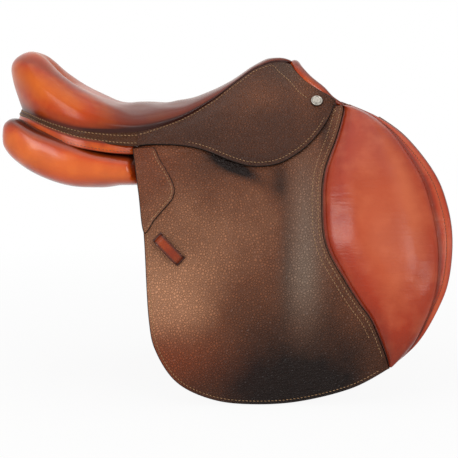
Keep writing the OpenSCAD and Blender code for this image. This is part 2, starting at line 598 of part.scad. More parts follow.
// Columns where the padding starts and ends
pad_in_share = 0.03;
pad_out_share = 0.87;
pad_side_power = 3;
pad_end_power = 6;
pad_base_r = flap_out_r + fit_gap;
function line_at(p, f) = let (g = f * (len(p) - 1), i = min(floor(g), len(p) - 2))
    p[i] + (p[i + 1] - p[i]) * (g - i);
function pad_place(a, b) = line_at(grip_edge, b) * (1 - a) + line_at(flap_front, b) * a;
function pad_crown(a, b) = let (k = (a - pad_in_share) / (pad_out_share - pad_in_share))
    k <= 0 || k >= 1 ? 0 : pad_t * pow(1 - pow(abs(2 * k - 1), pad_side_power), 0.6)
        * sqrt(1 - pow(abs(2 * b - 1), pad_end_power));
function pad_at(a, b, r) = let (p = pad_place(a, b)) barrel_at(p[0], p[1], r);
foam_rows = [for (b = pad_rows) if (b > 0.02 && b < 0.98) b];
foam_columns = [for (a = pad_columns) if (a > pad_in_share && a < pad_out_share) a];
module knee_foam(side) {
    color("#E5DCC0") on_side(side) between(
        [for (b = foam_rows) [for (a = foam_columns) pad_at(a, b, pad_base_r + pad_crown(a, b))]],
        [for (b = foam_rows) [for (a = foam_columns) pad_at(a, b, pad_base_r)]]);
}
module knee_foam_left() { knee_foam(1); }
module knee_foam_right() { knee_foam(-1); }
module knee_pad(side) {
    lift = pad_base_r + fit_gap;
    color("#C0532A") on_side(side) between(
        [for (b = pad_rows) [for (a = pad_columns) pad_at(a, b, lift + pad_leather_t + pad_crown(a, b))]],
        [for (b = pad_rows) [for (a = pad_columns) pad_at(a, b, lift + pad_crown(a, b))]]);
}
module knee_pad_left() { knee_pad(1); }
module knee_pad_right() { knee_pad(-1); }

// Skirt: a fixed top from the seat's seam to the hinge line, and a free lower part
// Rows of the seat, as shares of its rows, where the skirt starts
// and where its top edge leaves for the pommel
skirt_first_share = 0.5412;
skirt_last_share = 0.1176;
skirt_first = skirt_first_share * (len(seat_shares) - 1);
skirt_last = skirt_last_share * (len(seat_shares) - 1);
skirt_steps = 18;
seam_gap = 0.7;
skirt_top_line = concat(
    [for (i = [0:skirt_steps])
        let (s = skirt_first + (skirt_last - skirt_first) * i / skirt_steps, e = seat_edge(s))
        [e[0], e[1] + seam_gap, e[2] - seam_gap]],
    [for (s = smooth(pommel_shares, 2)) on_seat(s)]);
skirt_columns = [0, 0.2, 0.4, 0.6, 0.8, 1];
function hinge_way(x) = let (h = hinge_at(x), lean = asin((h[2] - barrel_z) / barrel_r))
    [0, -sin(lean), cos(lean)];
function skirt_knee(p) = hinge_at(p[0]) + hinge_way(p[0]) * norm(p - hinge_at(p[0])) / 2;
function skirt_out(p, t) = let (end = hinge_at(p[0]) + hinge_way(p[0]) * hinge_rise, k = skirt_knee(p))
    p * (1 - t) * (1 - t) + k * 2 * t * (1 - t) + end * t * t;
function skirt_go(p, t) = let (end = hinge_at(p[0]), k = skirt_knee(p))
    unit((k - p) * (1 - t) + (end - k) * t);
function skirt_normal(p, t) = let (g = skirt_go(p, t)) [0, -g[2], g[1]];
module skirt_top(side) {
    color("#4A3022") on_side(side) between(
        [for (p = skirt_top_line) [for (t = skirt_columns) skirt_out(p, t)]],
        [for (p = skirt_top_line) [for (t = skirt_columns) skirt_out(p, t) - skirt_normal(p, t) * skirt_t]]);
}
module skirt_top_left() { skirt_top(1); }
module skirt_top_right() { skirt_top(-1); }
module skirt(side) {
    color("#4A3022") on_side(side) bent_sheet(skirt_in_r, barrel_r) intersection() {
        polygon([for (s = smooth(skirt_edge_shares, 3)) on_skirt(s)]);
        below_hinge(hinge_drop);
    }
}
module skirt_left() { skirt(1); }
module skirt_right() { skirt(-1); }

// Nail with a domed head on each skirt, beside the pommel
nail_t = 3.6;
nail_seat = 0.9;
nail_share = 0.68;
nail_row = len(skirt_top_line) - 5;
module skirt_nails() {
    p = skirt_top_line[nail_row];
    n = skirt_normal(p, nail_share);
    ball_r = (nail_r * nail_r + nail_t * nail_t) / (2 * nail_t);
    color("#C9C9C4") for (side = [-1, 1]) on_side(side)
        translate(skirt_out(p, nail_share) + n * nail_seat)
        rotate([-atan2(n[1], n[2]), 0, 0]) intersection() {
            translate([0, 0, nail_t - ball_r]) sphere(r = ball_r);
            cylinder(r = nail_r, h = nail_t);
        }
}

// Bands below the seat's edge, from one skirt round the cantle to the other
band_steps = 16;
strip_t = 2.4;
strip_front_h = 18;
strip_rear_h = 9;
facing_t = 4;
facing_h = 12;
band_gap = 0.5;
function strip_h(s) = strip_front_h + (strip_rear_h - strip_front_h)
    * min(1, (s - skirt_first) / (len(seat_shares) - skirt_first) * 1.6);
function band_at(s, out, z) = let (e = seat_edge(s), w = unit(edge_way(s)))
    [e[0] + w[0] * out, e[1] + w[1] * out, z];
function band_ring(s, in, out, flare, top, low) = let (z = seat_edge(s)[2])
    [band_at(s, in + flare, z - low), band_at(s, out + flare, z - low),
        band_at(s, out, z - top), band_at(s, in, z - top)];
function round_cantle(rings) = concat(rings,
    [for (i = [len(rings) - 2:-1:0]) [for (p = rings[i]) mirrored(p)]]);
// Rows of the seat by which the bands start behind the skirt's rear end
strip_start_share = 0.15;
facing_start_share = 0.4;
function band_rows(start) = let (first = skirt_first + start, last = len(seat_shares) - 1)
    [for (i = [0:band_steps]) i == band_steps ? last : first + (last - first) * i / band_steps];
module cantle_strip() {
    color("#3A241A") skinned(round_cantle([for (s = band_rows(strip_start_share))
        band_ring(s, -strip_t, 0, strip_t / 2, seam_gap, seam_gap + strip_h(s))]));
}
module rear_facing() {
    color("#C0532A") skinned(round_cantle([for (s = band_rows(facing_start_share))
        band_ring(s, -facing_t / 2, facing_t / 2, facing_t / 2, seam_gap + strip_h(s) + band_gap,
            seam_gap + strip_h(s) + band_gap + facing_h)]));
}

// Padded facing round the pommel's front
facing_r = 7.2;
facing_sides = 10;
module pommel_facing() {
    path = whole_arch([for (s = smooth(facing_path_shares, 3)) on_seat(s)]);
    color("#C0532A") skinned([for (i = [0:len(path) - 1]) let (go = unit(ahead(path, i, false)),
        across = unit(cross([0, 0, 1], go)), up = cross(go, across))
        [for (k = [0:facing_sides - 1]) path[i] + facing_r * (sin(k * 360 / facing_sides) * across
            + cos(k * 360 / facing_sides) * up)]]);
}

// Panels: padded cushions on either side of the channel over the horse's spine
panel_sides = 18;
// Length over which the panel swells out behind the sweat flap
panel_ease = 36;
sweat_rear_x = flap_rear_x + sweat_shares[0][0] * flap_w;
function swell(v) = sign(v) * pow(abs(v), 2 / panel_square);
function panel_point(r, turn) = let (x = panel_rear_x + r[0] * panel_l,
    y = panel_half_w * (r[1] + r[3] * swell(cos(turn))), z = panel_half_h * (r[2] + r[4] * swell(sin(turn))),
    most = barrel_at(x, z, sweat_in_r - fit_gap)[1] + max(0, sweat_rear_x - panel_ease - x))
    [x, min(y, most), z];
module panel(side) {
    color("#B84E24") on_side(side) skinned([for (r = smooth(panel_shares, 2))
        [for (k = [0:panel_sides - 1]) panel_point(r, -k * 360 / panel_sides)]]);
}
module panel_left() { panel(1); }
module panel_right() { panel(-1); }
channel_half_share = 0.745;
channel_t = 2;
channel_h = 18;
channel_top_z = 47;
channel_rear_share = 0.08;
channel_l_share = 0.82;
module panel_channel() {
    half = panel_half_w * channel_half_share;
    rear_x = panel_rear_x + panel_l * channel_rear_share;
    color("#8E3A1A") translate([rear_x, 0, channel_top_z - channel_h]) difference() {
        translate([0, -half, 0]) cube([panel_l * channel_l_share, 2 * half, channel_h]);
        translate([-cut, channel_t - half, -cut])
            cube([panel_l * channel_l_share + 2 * cut, 2 * (half - channel_t), channel_h - channel_t + cut]);
    }
}
module sweat_flap(side) {
    color("#6B3A22") on_side(side) bent_sheet(sweat_in_r, sweat_out_r) intersection() {
        polygon([for (s = smooth(sweat_shares, 4)) on_flap(s)]);
        below_hinge(sweat_drop);
    }
}
module sweat_flap_left() { sweat_flap(1); }
module sweat_flap_right() { sweat_flap(-1); }

saddle_tree();
head_plate();
tree_springs();
spring_rivets();
stirrup_bar_left();
stirrup_bar_right();
bar_rivets();
catch_pins();
bar_catch_left();
bar_catch_right();
straining_web();
girth_web_front();
girth_web_middle();
girth_web_rear();
seat_foam();
seat_cover();
cantle_strip();
rear_facing();
pommel_facing();
panel_left();
panel_right();
panel_channel();
sweat_flap_left();
sweat_flap_right();
skirt_top_left();
skirt_top_right();
skirt_nails();
skirt_left();
skirt_right();
flap_left();
flap_right();
grip_left();
grip_right();
knee_foam_left();
knee_foam_right();
knee_pad_left();
knee_pad_right();
flap_patch_left();
flap_patch_right();
keeper_left();
keeper_right();
billet_front_left();
billet_front_right();
billet_middle_left();
billet_middle_right();
billet_rear_left();
billet_rear_right();
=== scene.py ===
import math

import bmesh
import bpy
import numpy as np
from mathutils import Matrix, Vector
from mathutils.kdtree import KDTree


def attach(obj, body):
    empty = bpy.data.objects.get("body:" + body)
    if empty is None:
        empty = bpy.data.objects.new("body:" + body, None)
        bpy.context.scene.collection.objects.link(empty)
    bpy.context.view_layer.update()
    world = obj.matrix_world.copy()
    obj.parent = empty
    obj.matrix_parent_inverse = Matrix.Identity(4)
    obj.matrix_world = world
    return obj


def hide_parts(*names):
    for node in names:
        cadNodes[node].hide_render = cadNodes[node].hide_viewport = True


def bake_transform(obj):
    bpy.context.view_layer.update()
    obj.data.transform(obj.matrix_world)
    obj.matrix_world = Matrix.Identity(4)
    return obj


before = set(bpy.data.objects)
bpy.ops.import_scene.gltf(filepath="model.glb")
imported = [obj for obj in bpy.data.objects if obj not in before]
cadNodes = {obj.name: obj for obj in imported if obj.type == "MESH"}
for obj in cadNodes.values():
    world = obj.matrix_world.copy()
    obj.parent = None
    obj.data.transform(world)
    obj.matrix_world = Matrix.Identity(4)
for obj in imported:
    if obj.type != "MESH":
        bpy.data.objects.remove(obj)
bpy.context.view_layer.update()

print("frame loaded:", len(cadNodes), "nodes")

# all shapes are worked out in millimetres on the left side (+Y) and mirrored for the right
sides = {"left": 1, "right": -1}
mirror = np.array([1, -1, 1])
mm = 0.001  # Blender's metres

# seat's rear end and length, from which flap, skirt and panels take their places
seatRear = -302.0
seatLength = 394.0

# the barrel that every flap leather is bent to, and the line where flap and skirt fold
barrel = {"radius": 506.0, "hingeX": 13.003, "hingeY": 97.0025, "hingeZ": 86.0,
          "tilt": math.radians(11.4), "toe": math.radians(8.35), "lean": math.radians(36)}
barrelY = barrel["hingeY"] - barrel["radius"] * math.cos(barrel["lean"])
barrelZ = barrel["hingeZ"] - barrel["radius"] * math.sin(barrel["lean"])
# inner and outer radius of each leather on it
layers = {"sweat": (480.0, 483.5), "flap": (495.1, 499.1), "grip": (499.4, 501.8), "patch": (502.1, 503.9)}


def onBarrel(xz, r):
    # side-view points laid on the barrel of radius r: y is the barrel's height over its axis at that z
    x, z = xz[..., 0], xz[..., 1]
    return np.stack([x, barrelY + np.sqrt(r ** 2 - (z - barrelZ) ** 2), z], -1)


def unit(v):
    return v / np.maximum(np.linalg.norm(v, axis=-1, keepdims=True), 1e-9)


def barrelNormal(points):
    # straight out from the barrel's axis
    return unit((points - [0, barrelY, barrelZ]) * [0, 1, 1])


def hingeAt(x):
    # the fold line at lengthways place x
    dx = np.asarray(x, float) - barrel["hingeX"]
    return np.stack([dx + barrel["hingeX"], barrel["hingeY"] - math.tan(barrel["toe"]) * dx,
                     barrel["hingeZ"] + math.tan(barrel["tilt"]) * dx], -1)


def rowsAt(table, s):
    # a table of rows read at any row number s, by the cubic that passes through its rows
    p = np.asarray(table, float)
    p = p[:, None] if p.ndim == 1 else p
    i = np.clip(np.floor(s).astype(int), 0, len(p) - 2)
    a, b, c, d = (p[np.clip(i + k, 0, len(p) - 1)] for k in (-1, 0, 1, 2))
    t = (s - i)[..., None]
    second = (2 * a - 5 * b + 4 * c - d) * t ** 2 / 2
    return b + (c - a) * t / 2 + second + (3 * b - a - 3 * c + d) * t ** 3 / 2


def smoothLine(points, steps):
    # the same cubic sampled evenly, with that many steps in each span
    return rowsAt(points, np.linspace(0, len(points) - 1, (len(points) - 1) * steps + 1))


def runAlong(line):
    # distance from the line's start to each of its points
    return np.concatenate([[0], np.cumsum(np.linalg.norm(np.diff(line, axis=0), axis=1))])


def lineLength(line):
    return float(runAlong(line)[-1])


def evenLine(line, places, values=None):
    # the line's points, or values given for them, at these distances (mm) along it
    values = line if values is None else values
    return np.stack([np.interp(places, runAlong(line), column) for column in values.T], -1)


def bell(d, middle, width):
    # a smooth bump of height 1 at the middle
    return np.exp(-((d - middle) / width) ** 2)


def bells(d, table):
    # sum of smooth bumps, each given as height, middle and width
    return sum(high * bell(d, middle, width) for high, middle, width in table)


def spots(u, v, table):
    # sum of soft oval spots, each given as strength, middle in u and v, and reach in u and v
    return sum(much * bell(u, midU, farU) * bell(v, midV, farV) for much, midU, midV, farU, farV in table)


def ease(t):
    # smooth step from 0 to 1
    t = np.clip(t, 0, 1)
    return t * t * (3 - 2 * t)


def power(v, n):
    # v to the power n, with its sign kept
    return np.sign(v) * np.abs(v) ** n


def aroundTurn(count):
    # angles of that many even steps round a full turn
    return np.linspace(0, 2 * np.pi, count, endpoint=False)


def edgeSteps(length, near, count, room=2.6, gap=1.35):
    # shares 0 to 1 across spans of that length, with extra steps at the given mm from both ends;
    # spans shorter than room times the last extra step draw them in, and even steps start gap times as far in
    near = np.asarray(near, float)
    tight = np.minimum(1, length / (room * near[-1]))[..., None]
    first = near * tight / np.maximum(length, 1e-6)[..., None]
    start = first[..., -1:] * gap
    inner = start + (1 - 2 * start) * np.linspace(0, 1, count)
    return np.concatenate([first, inner, 1 - first[..., ::-1]], -1)


def gridQuads(rows, columns, wrap=False):
    # corner numbers of the faces of a grid, optionally joined round its columns
    i, j = np.meshgrid(np.arange(rows - 1), np.arange(columns if wrap else columns - 1), indexing="ij")
    low, high, k = i * columns, (i + 1) * columns, (j + 1) % columns
    return np.stack([low + j, low + k, high + k, high + j], -1).reshape(-1, 4)


meshing = {"join": 2e-6, "thin": 1e-7, "sharp": math.radians(50)}


def makePiece(name, points, faces, side=1, marks=None, outward=True):
    # points in mm become a smooth mesh; doubles are merged and faces turned outwards
    points = np.asarray(points, float).reshape(-1, 3) * np.array([1, side, 1]) * mm
    mesh = bpy.data.meshes.new(name)
    mesh.from_pydata(points.tolist(), [], faces if isinstance(faces, list) else faces.tolist())
    for key, values in (marks or {}).items():
        mark = mesh.attributes.new(key, "FLOAT", "POINT")
        mark.data.foreach_set("value", np.ravel(values).astype(np.float32))
    tool = bmesh.new()
    tool.from_mesh(mesh)
    bmesh.ops.remove_doubles(tool, verts=tool.verts, dist=meshing["join"])
    bmesh.ops.dissolve_degenerate(tool, edges=tool.edges, dist=meshing["thin"])
    if outward:
        bmesh.ops.recalc_face_normals(tool, faces=tool.faces)
    tool.to_mesh(mesh)
    tool.free()
    mesh.polygons.foreach_set("use_smooth", np.ones(len(mesh.polygons), bool))
    mesh.set_sharp_from_angle(angle=meshing["sharp"])
    piece = bpy.data.objects.new(name, mesh)
    bpy.context.scene.collection.objects.link(piece)
    return piece


def finishPiece(piece, body, material, stands=()):
    # material, body and the solids that the piece stands for
    piece.data.materials.append(material)
    if body:
        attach(piece, body)
    if stands:
        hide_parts(*stands)
    return piece


def pairOf(name, shape, material, body, stands=()):
    # the same shape on the left and, mirrored, on the right
    made = {}
    for word, side in sides.items():
        piece = makePiece(name + "_" + word, shape["points"], shape["faces"], side, shape.get("marks"))
        solids = [solid + "_" + word for solid in stands]
        made[word] = finishPiece(piece, body and body.replace("*", word), material, solids)
    return made


def joined(*shapes):
    # several shapes as one
    starts = np.cumsum([0] + [len(k["points"]) for k in shapes[:-1]])
    return {"points": np.concatenate([k["points"] for k in shapes]),
            "faces": np.concatenate([k["faces"] + n for k, n in zip(shapes, starts)])}


def closedGrid(top, low, marks):
    # an upper and a lower grid with the same rows and columns, joined round their rim
    rows, columns = top.shape[:2]
    count = rows * columns
    skin = gridQuads(rows, columns)
    number = np.arange(count).reshape(rows, columns)
    ring = np.concatenate([number[0], number[1:, -1], number[-1, -2::-1], number[-2:0:-1, 0]])
    after = np.roll(ring, -1)
    rim = np.stack([ring, after, after + count, ring + count], -1)
    return {"points": np.concatenate([top.reshape(-1, 3), low.reshape(-1, 3)]),
            "faces": np.concatenate([skin, skin[:, ::-1] + count, rim]),
            "marks": {key: np.tile(values.ravel(), 2) for key, values in marks.items()}}


def farFromLine(points, line, block=1500):
    # shortest distance from each point to a line of short straight steps, a block of points at a time
    flat = points.reshape(-1, 3)
    start, step = line[:-1], np.diff(line, axis=0)
    size = np.maximum((step ** 2).sum(-1), 1e-12)
    found = []
    for some in np.array_split(flat, max(1, len(flat) // block)):
        gap = some[:, None] - start
        t = np.clip((gap * step).sum(-1) / size, 0, 1)
        found.append(np.linalg.norm(gap - t[..., None] * step, axis=-1).min(1))
    return np.concatenate(found).reshape(points.shape[:-1])


def leatherSheet(middle, normal, thick, cutLines, roundMm=1.3, grooves=(), marks=None):
    # a sheet is its middle surface moved half its thickness each way along the normal;
    # near a cut edge the half thickness shrinks as a quarter circle, so the edge is rounded.
    # grooves are (cut line, distance from it, width, depth) in mm, pressed into the outer face
    far = [farFromLine(middle, line) for line in cutLines]
    edge = np.minimum.reduce(far)
    half = thick / 2 * np.sqrt(1 - (1 - np.clip(edge / roundMm, 0, 1)) ** 2)
    press = sum((depth * bell(far[k], at, width) for k, at, width, depth in grooves), np.zeros_like(edge))
    top = middle + normal * (half - press)[..., None]
    return closedGrid(top, middle - normal * half[..., None], {"edgeMm": edge, **(marks or {})})


def closedTube(points, marks):
    # rings of points joined into a tube; each end is closed by a fan about its middle
    rows, columns = points.shape[:2]
    points = points.reshape(-1, 3)
    k = np.arange(columns)
    fan = np.stack([np.full(columns, rows * columns), k, (k + 1) % columns], -1)
    last = (rows - 1) * columns
    faces = gridQuads(rows, columns, True).tolist() + fan.tolist() + (fan + [1, last, last]).tolist()
    ends = np.stack([points[:columns].mean(0), points[-columns:].mean(0)])
    full = {key: np.concatenate([v.ravel(), v.ravel()[[0, -1]]]) for key, v in marks.items()}
    return {"points": np.concatenate([points, ends]), "faces": faces, "marks": full}


def carriedTube(path, across, up, profile, marks):
    # a closed profile (rows x points x across, up) carried along a path
    points = path[:, None] + profile[..., :1] * across[:, None] + profile[..., 1:] * up[:, None]
    return closedTube(points, marks)


# cushions are drawn in a little (mm) and blown up; what moves is carried over from the nearest points,
# with weights that fade over spread times the voxel size
puff = {"drawIn": 1.0, "most": 3.5, "frames": 20, "neighbours": 36, "spread": 2.2,
        "report": [0, 5, 50, 95, 100]}


def treeOf(points):
    tree = KDTree(len(points))
    for k, point in enumerate(points):
        tree.insert(point, k)
    tree.balance()
    return tree


def readVectors(source, key):
    # a mesh's places or normals as rows
    flat = np.empty(len(source) * 3)
    source.foreach_get(key, flat)
    return flat.reshape(-1, 3)


def puffed(shape, hold, voxelMm, pressure, slack):
    # cloth simulation: an even copy of the closed skin is drawn in and blown up between its held seams; what
    # it moves, limited to a few millimetres, is carried over to the fine skin; hold is 1 where nothing moves
    voxel = voxelMm * mm
    skin = makePiece("blown_skin", shape["points"], shape["faces"])
    even = skin.modifiers.new("even", "REMESH")
    even.mode = "VOXEL"
    even.voxel_size = voxel
    bpy.context.view_layer.update()
    skin.data = bpy.data.meshes.new_from_object(skin.evaluated_get(bpy.context.evaluated_depsgraph_get()))
    skin.modifiers.clear()
    start = readVectors(skin.data.vertices, "co")
    out = readVectors(skin.data.vertex_normals, "vector")
    fine = np.asarray(shape["points"]) * mm
    tree = treeOf(fine)
    held = hold[[tree.find(point)[1] for point in start]]
    drawn = start - out * (1 - held)[:, None] * puff["drawIn"] * mm
    skin.data.vertices.foreach_set("co", drawn.ravel())
    group = skin.vertex_groups.new(name="held")
    level = np.round(held, 1)
    for much in np.unique(level):
        group.add(np.flatnonzero(level == much).tolist(), float(much), "REPLACE")
    cloth = skin.modifiers.new("cloth", "CLOTH")
    cloth.settings.vertex_group_mass = "held"
    cloth.settings.use_pressure = True
    cloth.settings.uniform_pressure_force = pressure
    cloth.settings.shrink_min = -slack
    cloth.settings.effector_weights.gravity = 0
    cloth.collision_settings.use_collision = False
    for number in range(1, puff["frames"] + 1):
        bpy.context.scene.frame_set(number)
    blown = skin.evaluated_get(bpy.context.evaluated_depsgraph_get())
    moved = readVectors(blown.data.vertices, "co") - start
    outward = (moved * out).sum(1)[level == 0] / mm
    print("blown", len(start), "points; free ones moved outwards in mm, from least to most:",
          np.round(np.percentile(outward, puff["report"]), 2))
    far = np.linalg.norm(moved, axis=1, keepdims=True)
    moved = moved * np.minimum(1, puff["most"] * mm / np.maximum(far, 1e-9))
    tree = treeOf(start)
    found = [tree.find_n(point, puff["neighbours"]) for point in fine]
    which = np.array([[k for _, k, _ in near] for near in found])
    weight = bell(np.array([[d for _, _, d in near] for near in found]), 0, puff["spread"] * voxel)
    shift = (moved[which] * weight[..., None]).sum(1) / weight.sum(1)[:, None]
    bpy.data.objects.remove(skin)
    bpy.context.scene.frame_set(1)
    return {**shape, "points": (fine + shift * (1 - hold)[:, None]) / mm}


stitch = {"pitch": 5.0, "length": 3.5, "width": 1.0, "height": 0.7, "plump": 0.6, "facets": 6,
          "slant": math.radians(9)}


def stitchRow(line, normals, pitch=stitch["pitch"], sink=0.1):
    # waxed thread: one small ellipsoid a stitch, laid along the line and turned a little across it
    total = lineLength(line)
    count = max(2, int(total / pitch))
    at = (np.arange(count) + 0.5) * total / count
    up = unit(evenLine(line, at, normals))
    go = unit(evenLine(line, np.minimum(at + 1, total)) - evenLine(line, np.maximum(at - 1, 0)))
    go = unit(go - (go * up).sum(-1, keepdims=True) * up)
    wide = np.cross(up, go)
    cos, sin = math.cos(stitch["slant"]), math.sin(stitch["slant"])
    turned = np.stack([go * cos + wide * sin, wide * cos - go * sin, up], 1)
    facets = stitch["facets"]
    lift = np.linspace(-np.pi / 2, np.pi / 2, facets)[:, None]
    turn = aroundTurn(facets)
    girth = np.cos(lift) ** stitch["plump"]
    ball = np.stack([np.sin(lift) * stitch["length"] / 2 + 0 * turn,
                     girth * np.cos(turn) * stitch["width"] / 2,
                     girth * np.sin(turn) * stitch["height"]], -1).reshape(-1, 3)
    points = (evenLine(line, at) - up * sink)[:, None] + ball @ turned
    faces = gridQuads(facets, facets, True) + (np.arange(count) * facets ** 2)[:, None, None]
    return {"points": points.reshape(-1, 3), "faces": faces.reshape(-1, 4)}


def toLinear(code):
    # sRGB hex to the linear colour that the shaders take
    rgb = np.array([int(code[k:k + 2], 16) for k in (1, 3, 5)]) / 255
    lin = np.where(rgb <= 0.04045, rgb / 12.92, ((rgb + 0.055) / 1.055) ** 2.4)
    return (*(float(v) for v in lin), 1.0)


def addNode(tree, kind, links=None, values=None, **settings):
    # one node with its settings, its fixed socket values and what is linked into it
    made = tree.nodes.new("ShaderNode" + kind)
    for key, value in settings.items():
        setattr(made, key, value)
    for key, value in (values or {}).items():
        made.inputs[key].default_value = value
    for key, source in (links or {}).items():
        tree.links.new(source, made.inputs[key])
    return made


def startMaterial(name):
    material = bpy.data.materials.new(name)
    material.use_nodes = True
    material.node_tree.nodes.clear()
    place = addNode(material.node_tree, "TexCoord").outputs["Object"]
    return material, material.node_tree, place


def perMetre(millimetres):
    # texture scale that gives one cell in that many millimetres
    return 1000.0 / millimetres


def noise(tree, place, cellMm, detail, roughness=0.5):
    # cloudy pattern with cells of that size
    values = {"Scale": perMetre(cellMm), "Detail": detail, "Roughness": roughness}
    return addNode(tree, "TexNoise", {"Vector": place}, values).outputs


def between(tree, value, low=0.0, high=1.0, toLow=0.0, toHigh=1.0, **settings):
    # a value's place between low and high, given as a number from toLow to toHigh
    limits = {"From Min": low, "From Max": high, "To Min": toLow, "To Max": toHigh}
    return addNode(tree, "MapRange", {"Value": value}, limits, **settings).outputs[0]


def maths(tree, operation, first, second):
    # two numbers brought together; each is fixed or comes from another node
    given = {0: first, 1: second}
    values = {key: number for key, number in given.items() if isinstance(number, float)}
    links = {key: source for key, source in given.items() if key not in values}
    return addNode(tree, "Math", links, values, operation=operation).outputs[0]


def mixed(tree, part, first, second):
    # from the first colour to the second; each is a hex code or comes from another node
    given = {6: first, 7: second}
    values = {key: toLinear(colour) for key, colour in given.items() if isinstance(colour, str)}
    links = {key: source for key, source in given.items() if key not in values}
    return addNode(tree, "Mix", {0: part, **links}, values, data_type="RGBA").outputs[2]


def markOf(tree, name):
    # what the piece's points say under that name
    return addNode(tree, "Attribute", attribute_name=name).outputs["Fac"]


def relief(tree, height, strength, deepMm, below=None):
    # bump from a height pattern, on top of another one where given
    links = {"Height": height, "Normal": below} if below else {"Height": height}
    return addNode(tree, "Bump", links, {"Strength": strength, "Distance": deepMm * mm}).outputs[0]


def surface(tree, colour, roughness, normal, values, coated=True):
    # the shader that ends every material; a coat takes the same relief
    links = {"Base Color": colour, "Roughness": roughness, "Normal": normal}
    if coated:
        links["Coat Normal"] = normal
    shader = addNode(tree, "BsdfPrincipled", links, values)
    addNode(tree, "OutputMaterial", {"Surface": shader.outputs[0]})


# bright and seam are also the colours of painted highlight and painted shade, where the tone mark lightens
# and darkens the leather
calf = {"bright": "#E8721E", "middle": "#C24612", "deep": "#8A280A", "seam": "#35120A", "bloom": "#F4DDC2",
        "mottleMm": 70, "cloudAt": (0.36, 0.66), "cloud": 0.6,
        "glowShare": 0.37, "glowAt": (0.45, 0.75), "glow": 0.3,
        "poreMm": 2.4, "pored": 0.10, "poreDeep": 0.4, "creaseMm": 9, "creased": 0.1, "creaseDeep": 1.2,
        "stretch": (1, 1, 1), "gloss": (0.30, 0.46), "specular": 0.05, "coat": 0.95, "coatIor": 1.34,
        "coatRough": 0.2, "sheen": 0.0, "sheenRough": 0.3}


def smoothCalf(name, look):
    # vegetable-tanned calf, glazed and waxed: warm orange with cloudy darker areas, a soft gloss,
    # fine pores, and a tone mark that darkens it towards the seam colour as dye along the seams and as
    # painted shade, and lightens it towards the bright colour as painted highlight
    material, tree, place = startMaterial(name)
    cloud = noise(tree, place, look["mottleMm"], detail=4.0, roughness=0.55)["Fac"]
    glow = noise(tree, place, look["mottleMm"] * look["glowShare"], detail=3.0)["Fac"]
    clouded = between(tree, cloud, *look["cloudAt"], 0.0, look["cloud"])
    base = mixed(tree, clouded, look["middle"], look["deep"])
    warm = mixed(tree, between(tree, glow, *look["glowAt"], 0.0, look["glow"]), base, look["bright"])
    # the tone mark: painted highlight where it lightens, painted shade and seam dye where it darkens
    tone = markOf(tree, "tone")
    light = mixed(tree, between(tree, tone), warm, look["bright"])
    dark = mixed(tree, between(tree, tone, 0.0, -1.0), light, look["seam"])
    pore = addNode(tree, "TexVoronoi", {"Vector": place}, {"Scale": perMetre(look["poreMm"])},
                   feature="SMOOTH_F1")
    drawn = addNode(tree, "Mapping", {"Vector": place}, {"Scale": look["stretch"]})
    crease = noise(tree, drawn.outputs[0], look["creaseMm"], detail=5.0, roughness=0.6)["Fac"]
    fine = relief(tree, pore.outputs["Distance"], look["pored"], look["poreDeep"])
    bump = relief(tree, crease, look["creased"], look["creaseDeep"], fine)
    surface(tree, dark, between(tree, crease, 0.0, 1.0, *look["gloss"]), bump,
            {"Specular IOR Level": look["specular"], "Coat Weight": look["coat"], "Coat IOR": look["coatIor"],
             "Coat Roughness": look["coatRough"], "Sheen Weight": look["sheen"],
             "Sheen Roughness": look["sheenRough"], "Sheen Tint": toLinear(look["bloom"])})
    return material


# light and dark are also the colours of painted highlight and painted shade where the tone mark lightens and
# darkens the flap
grain = {"light": "#C58B68", "middle": "#7A4A32", "dark": "#170B07", "grey": "#8A7363", "rust": "#8A3C1E",
         "edge": "#1A0F0A", "edgeMm": (1.5, 0.7), "mottleMm": 60, "mottled": 0.7,
         "pebbleMm": 3.5, "bentMm": 2.2, "warpCells": 4, "slope": (0.02, 0.32), "valley": 0.55,
         "raised": 0.9, "raisedMm": 1.0, "gloss": (0.36, 0.52), "specular": 0.06,
         "coat": 0.28, "coatIor": 1.4, "coatRough": 0.3}


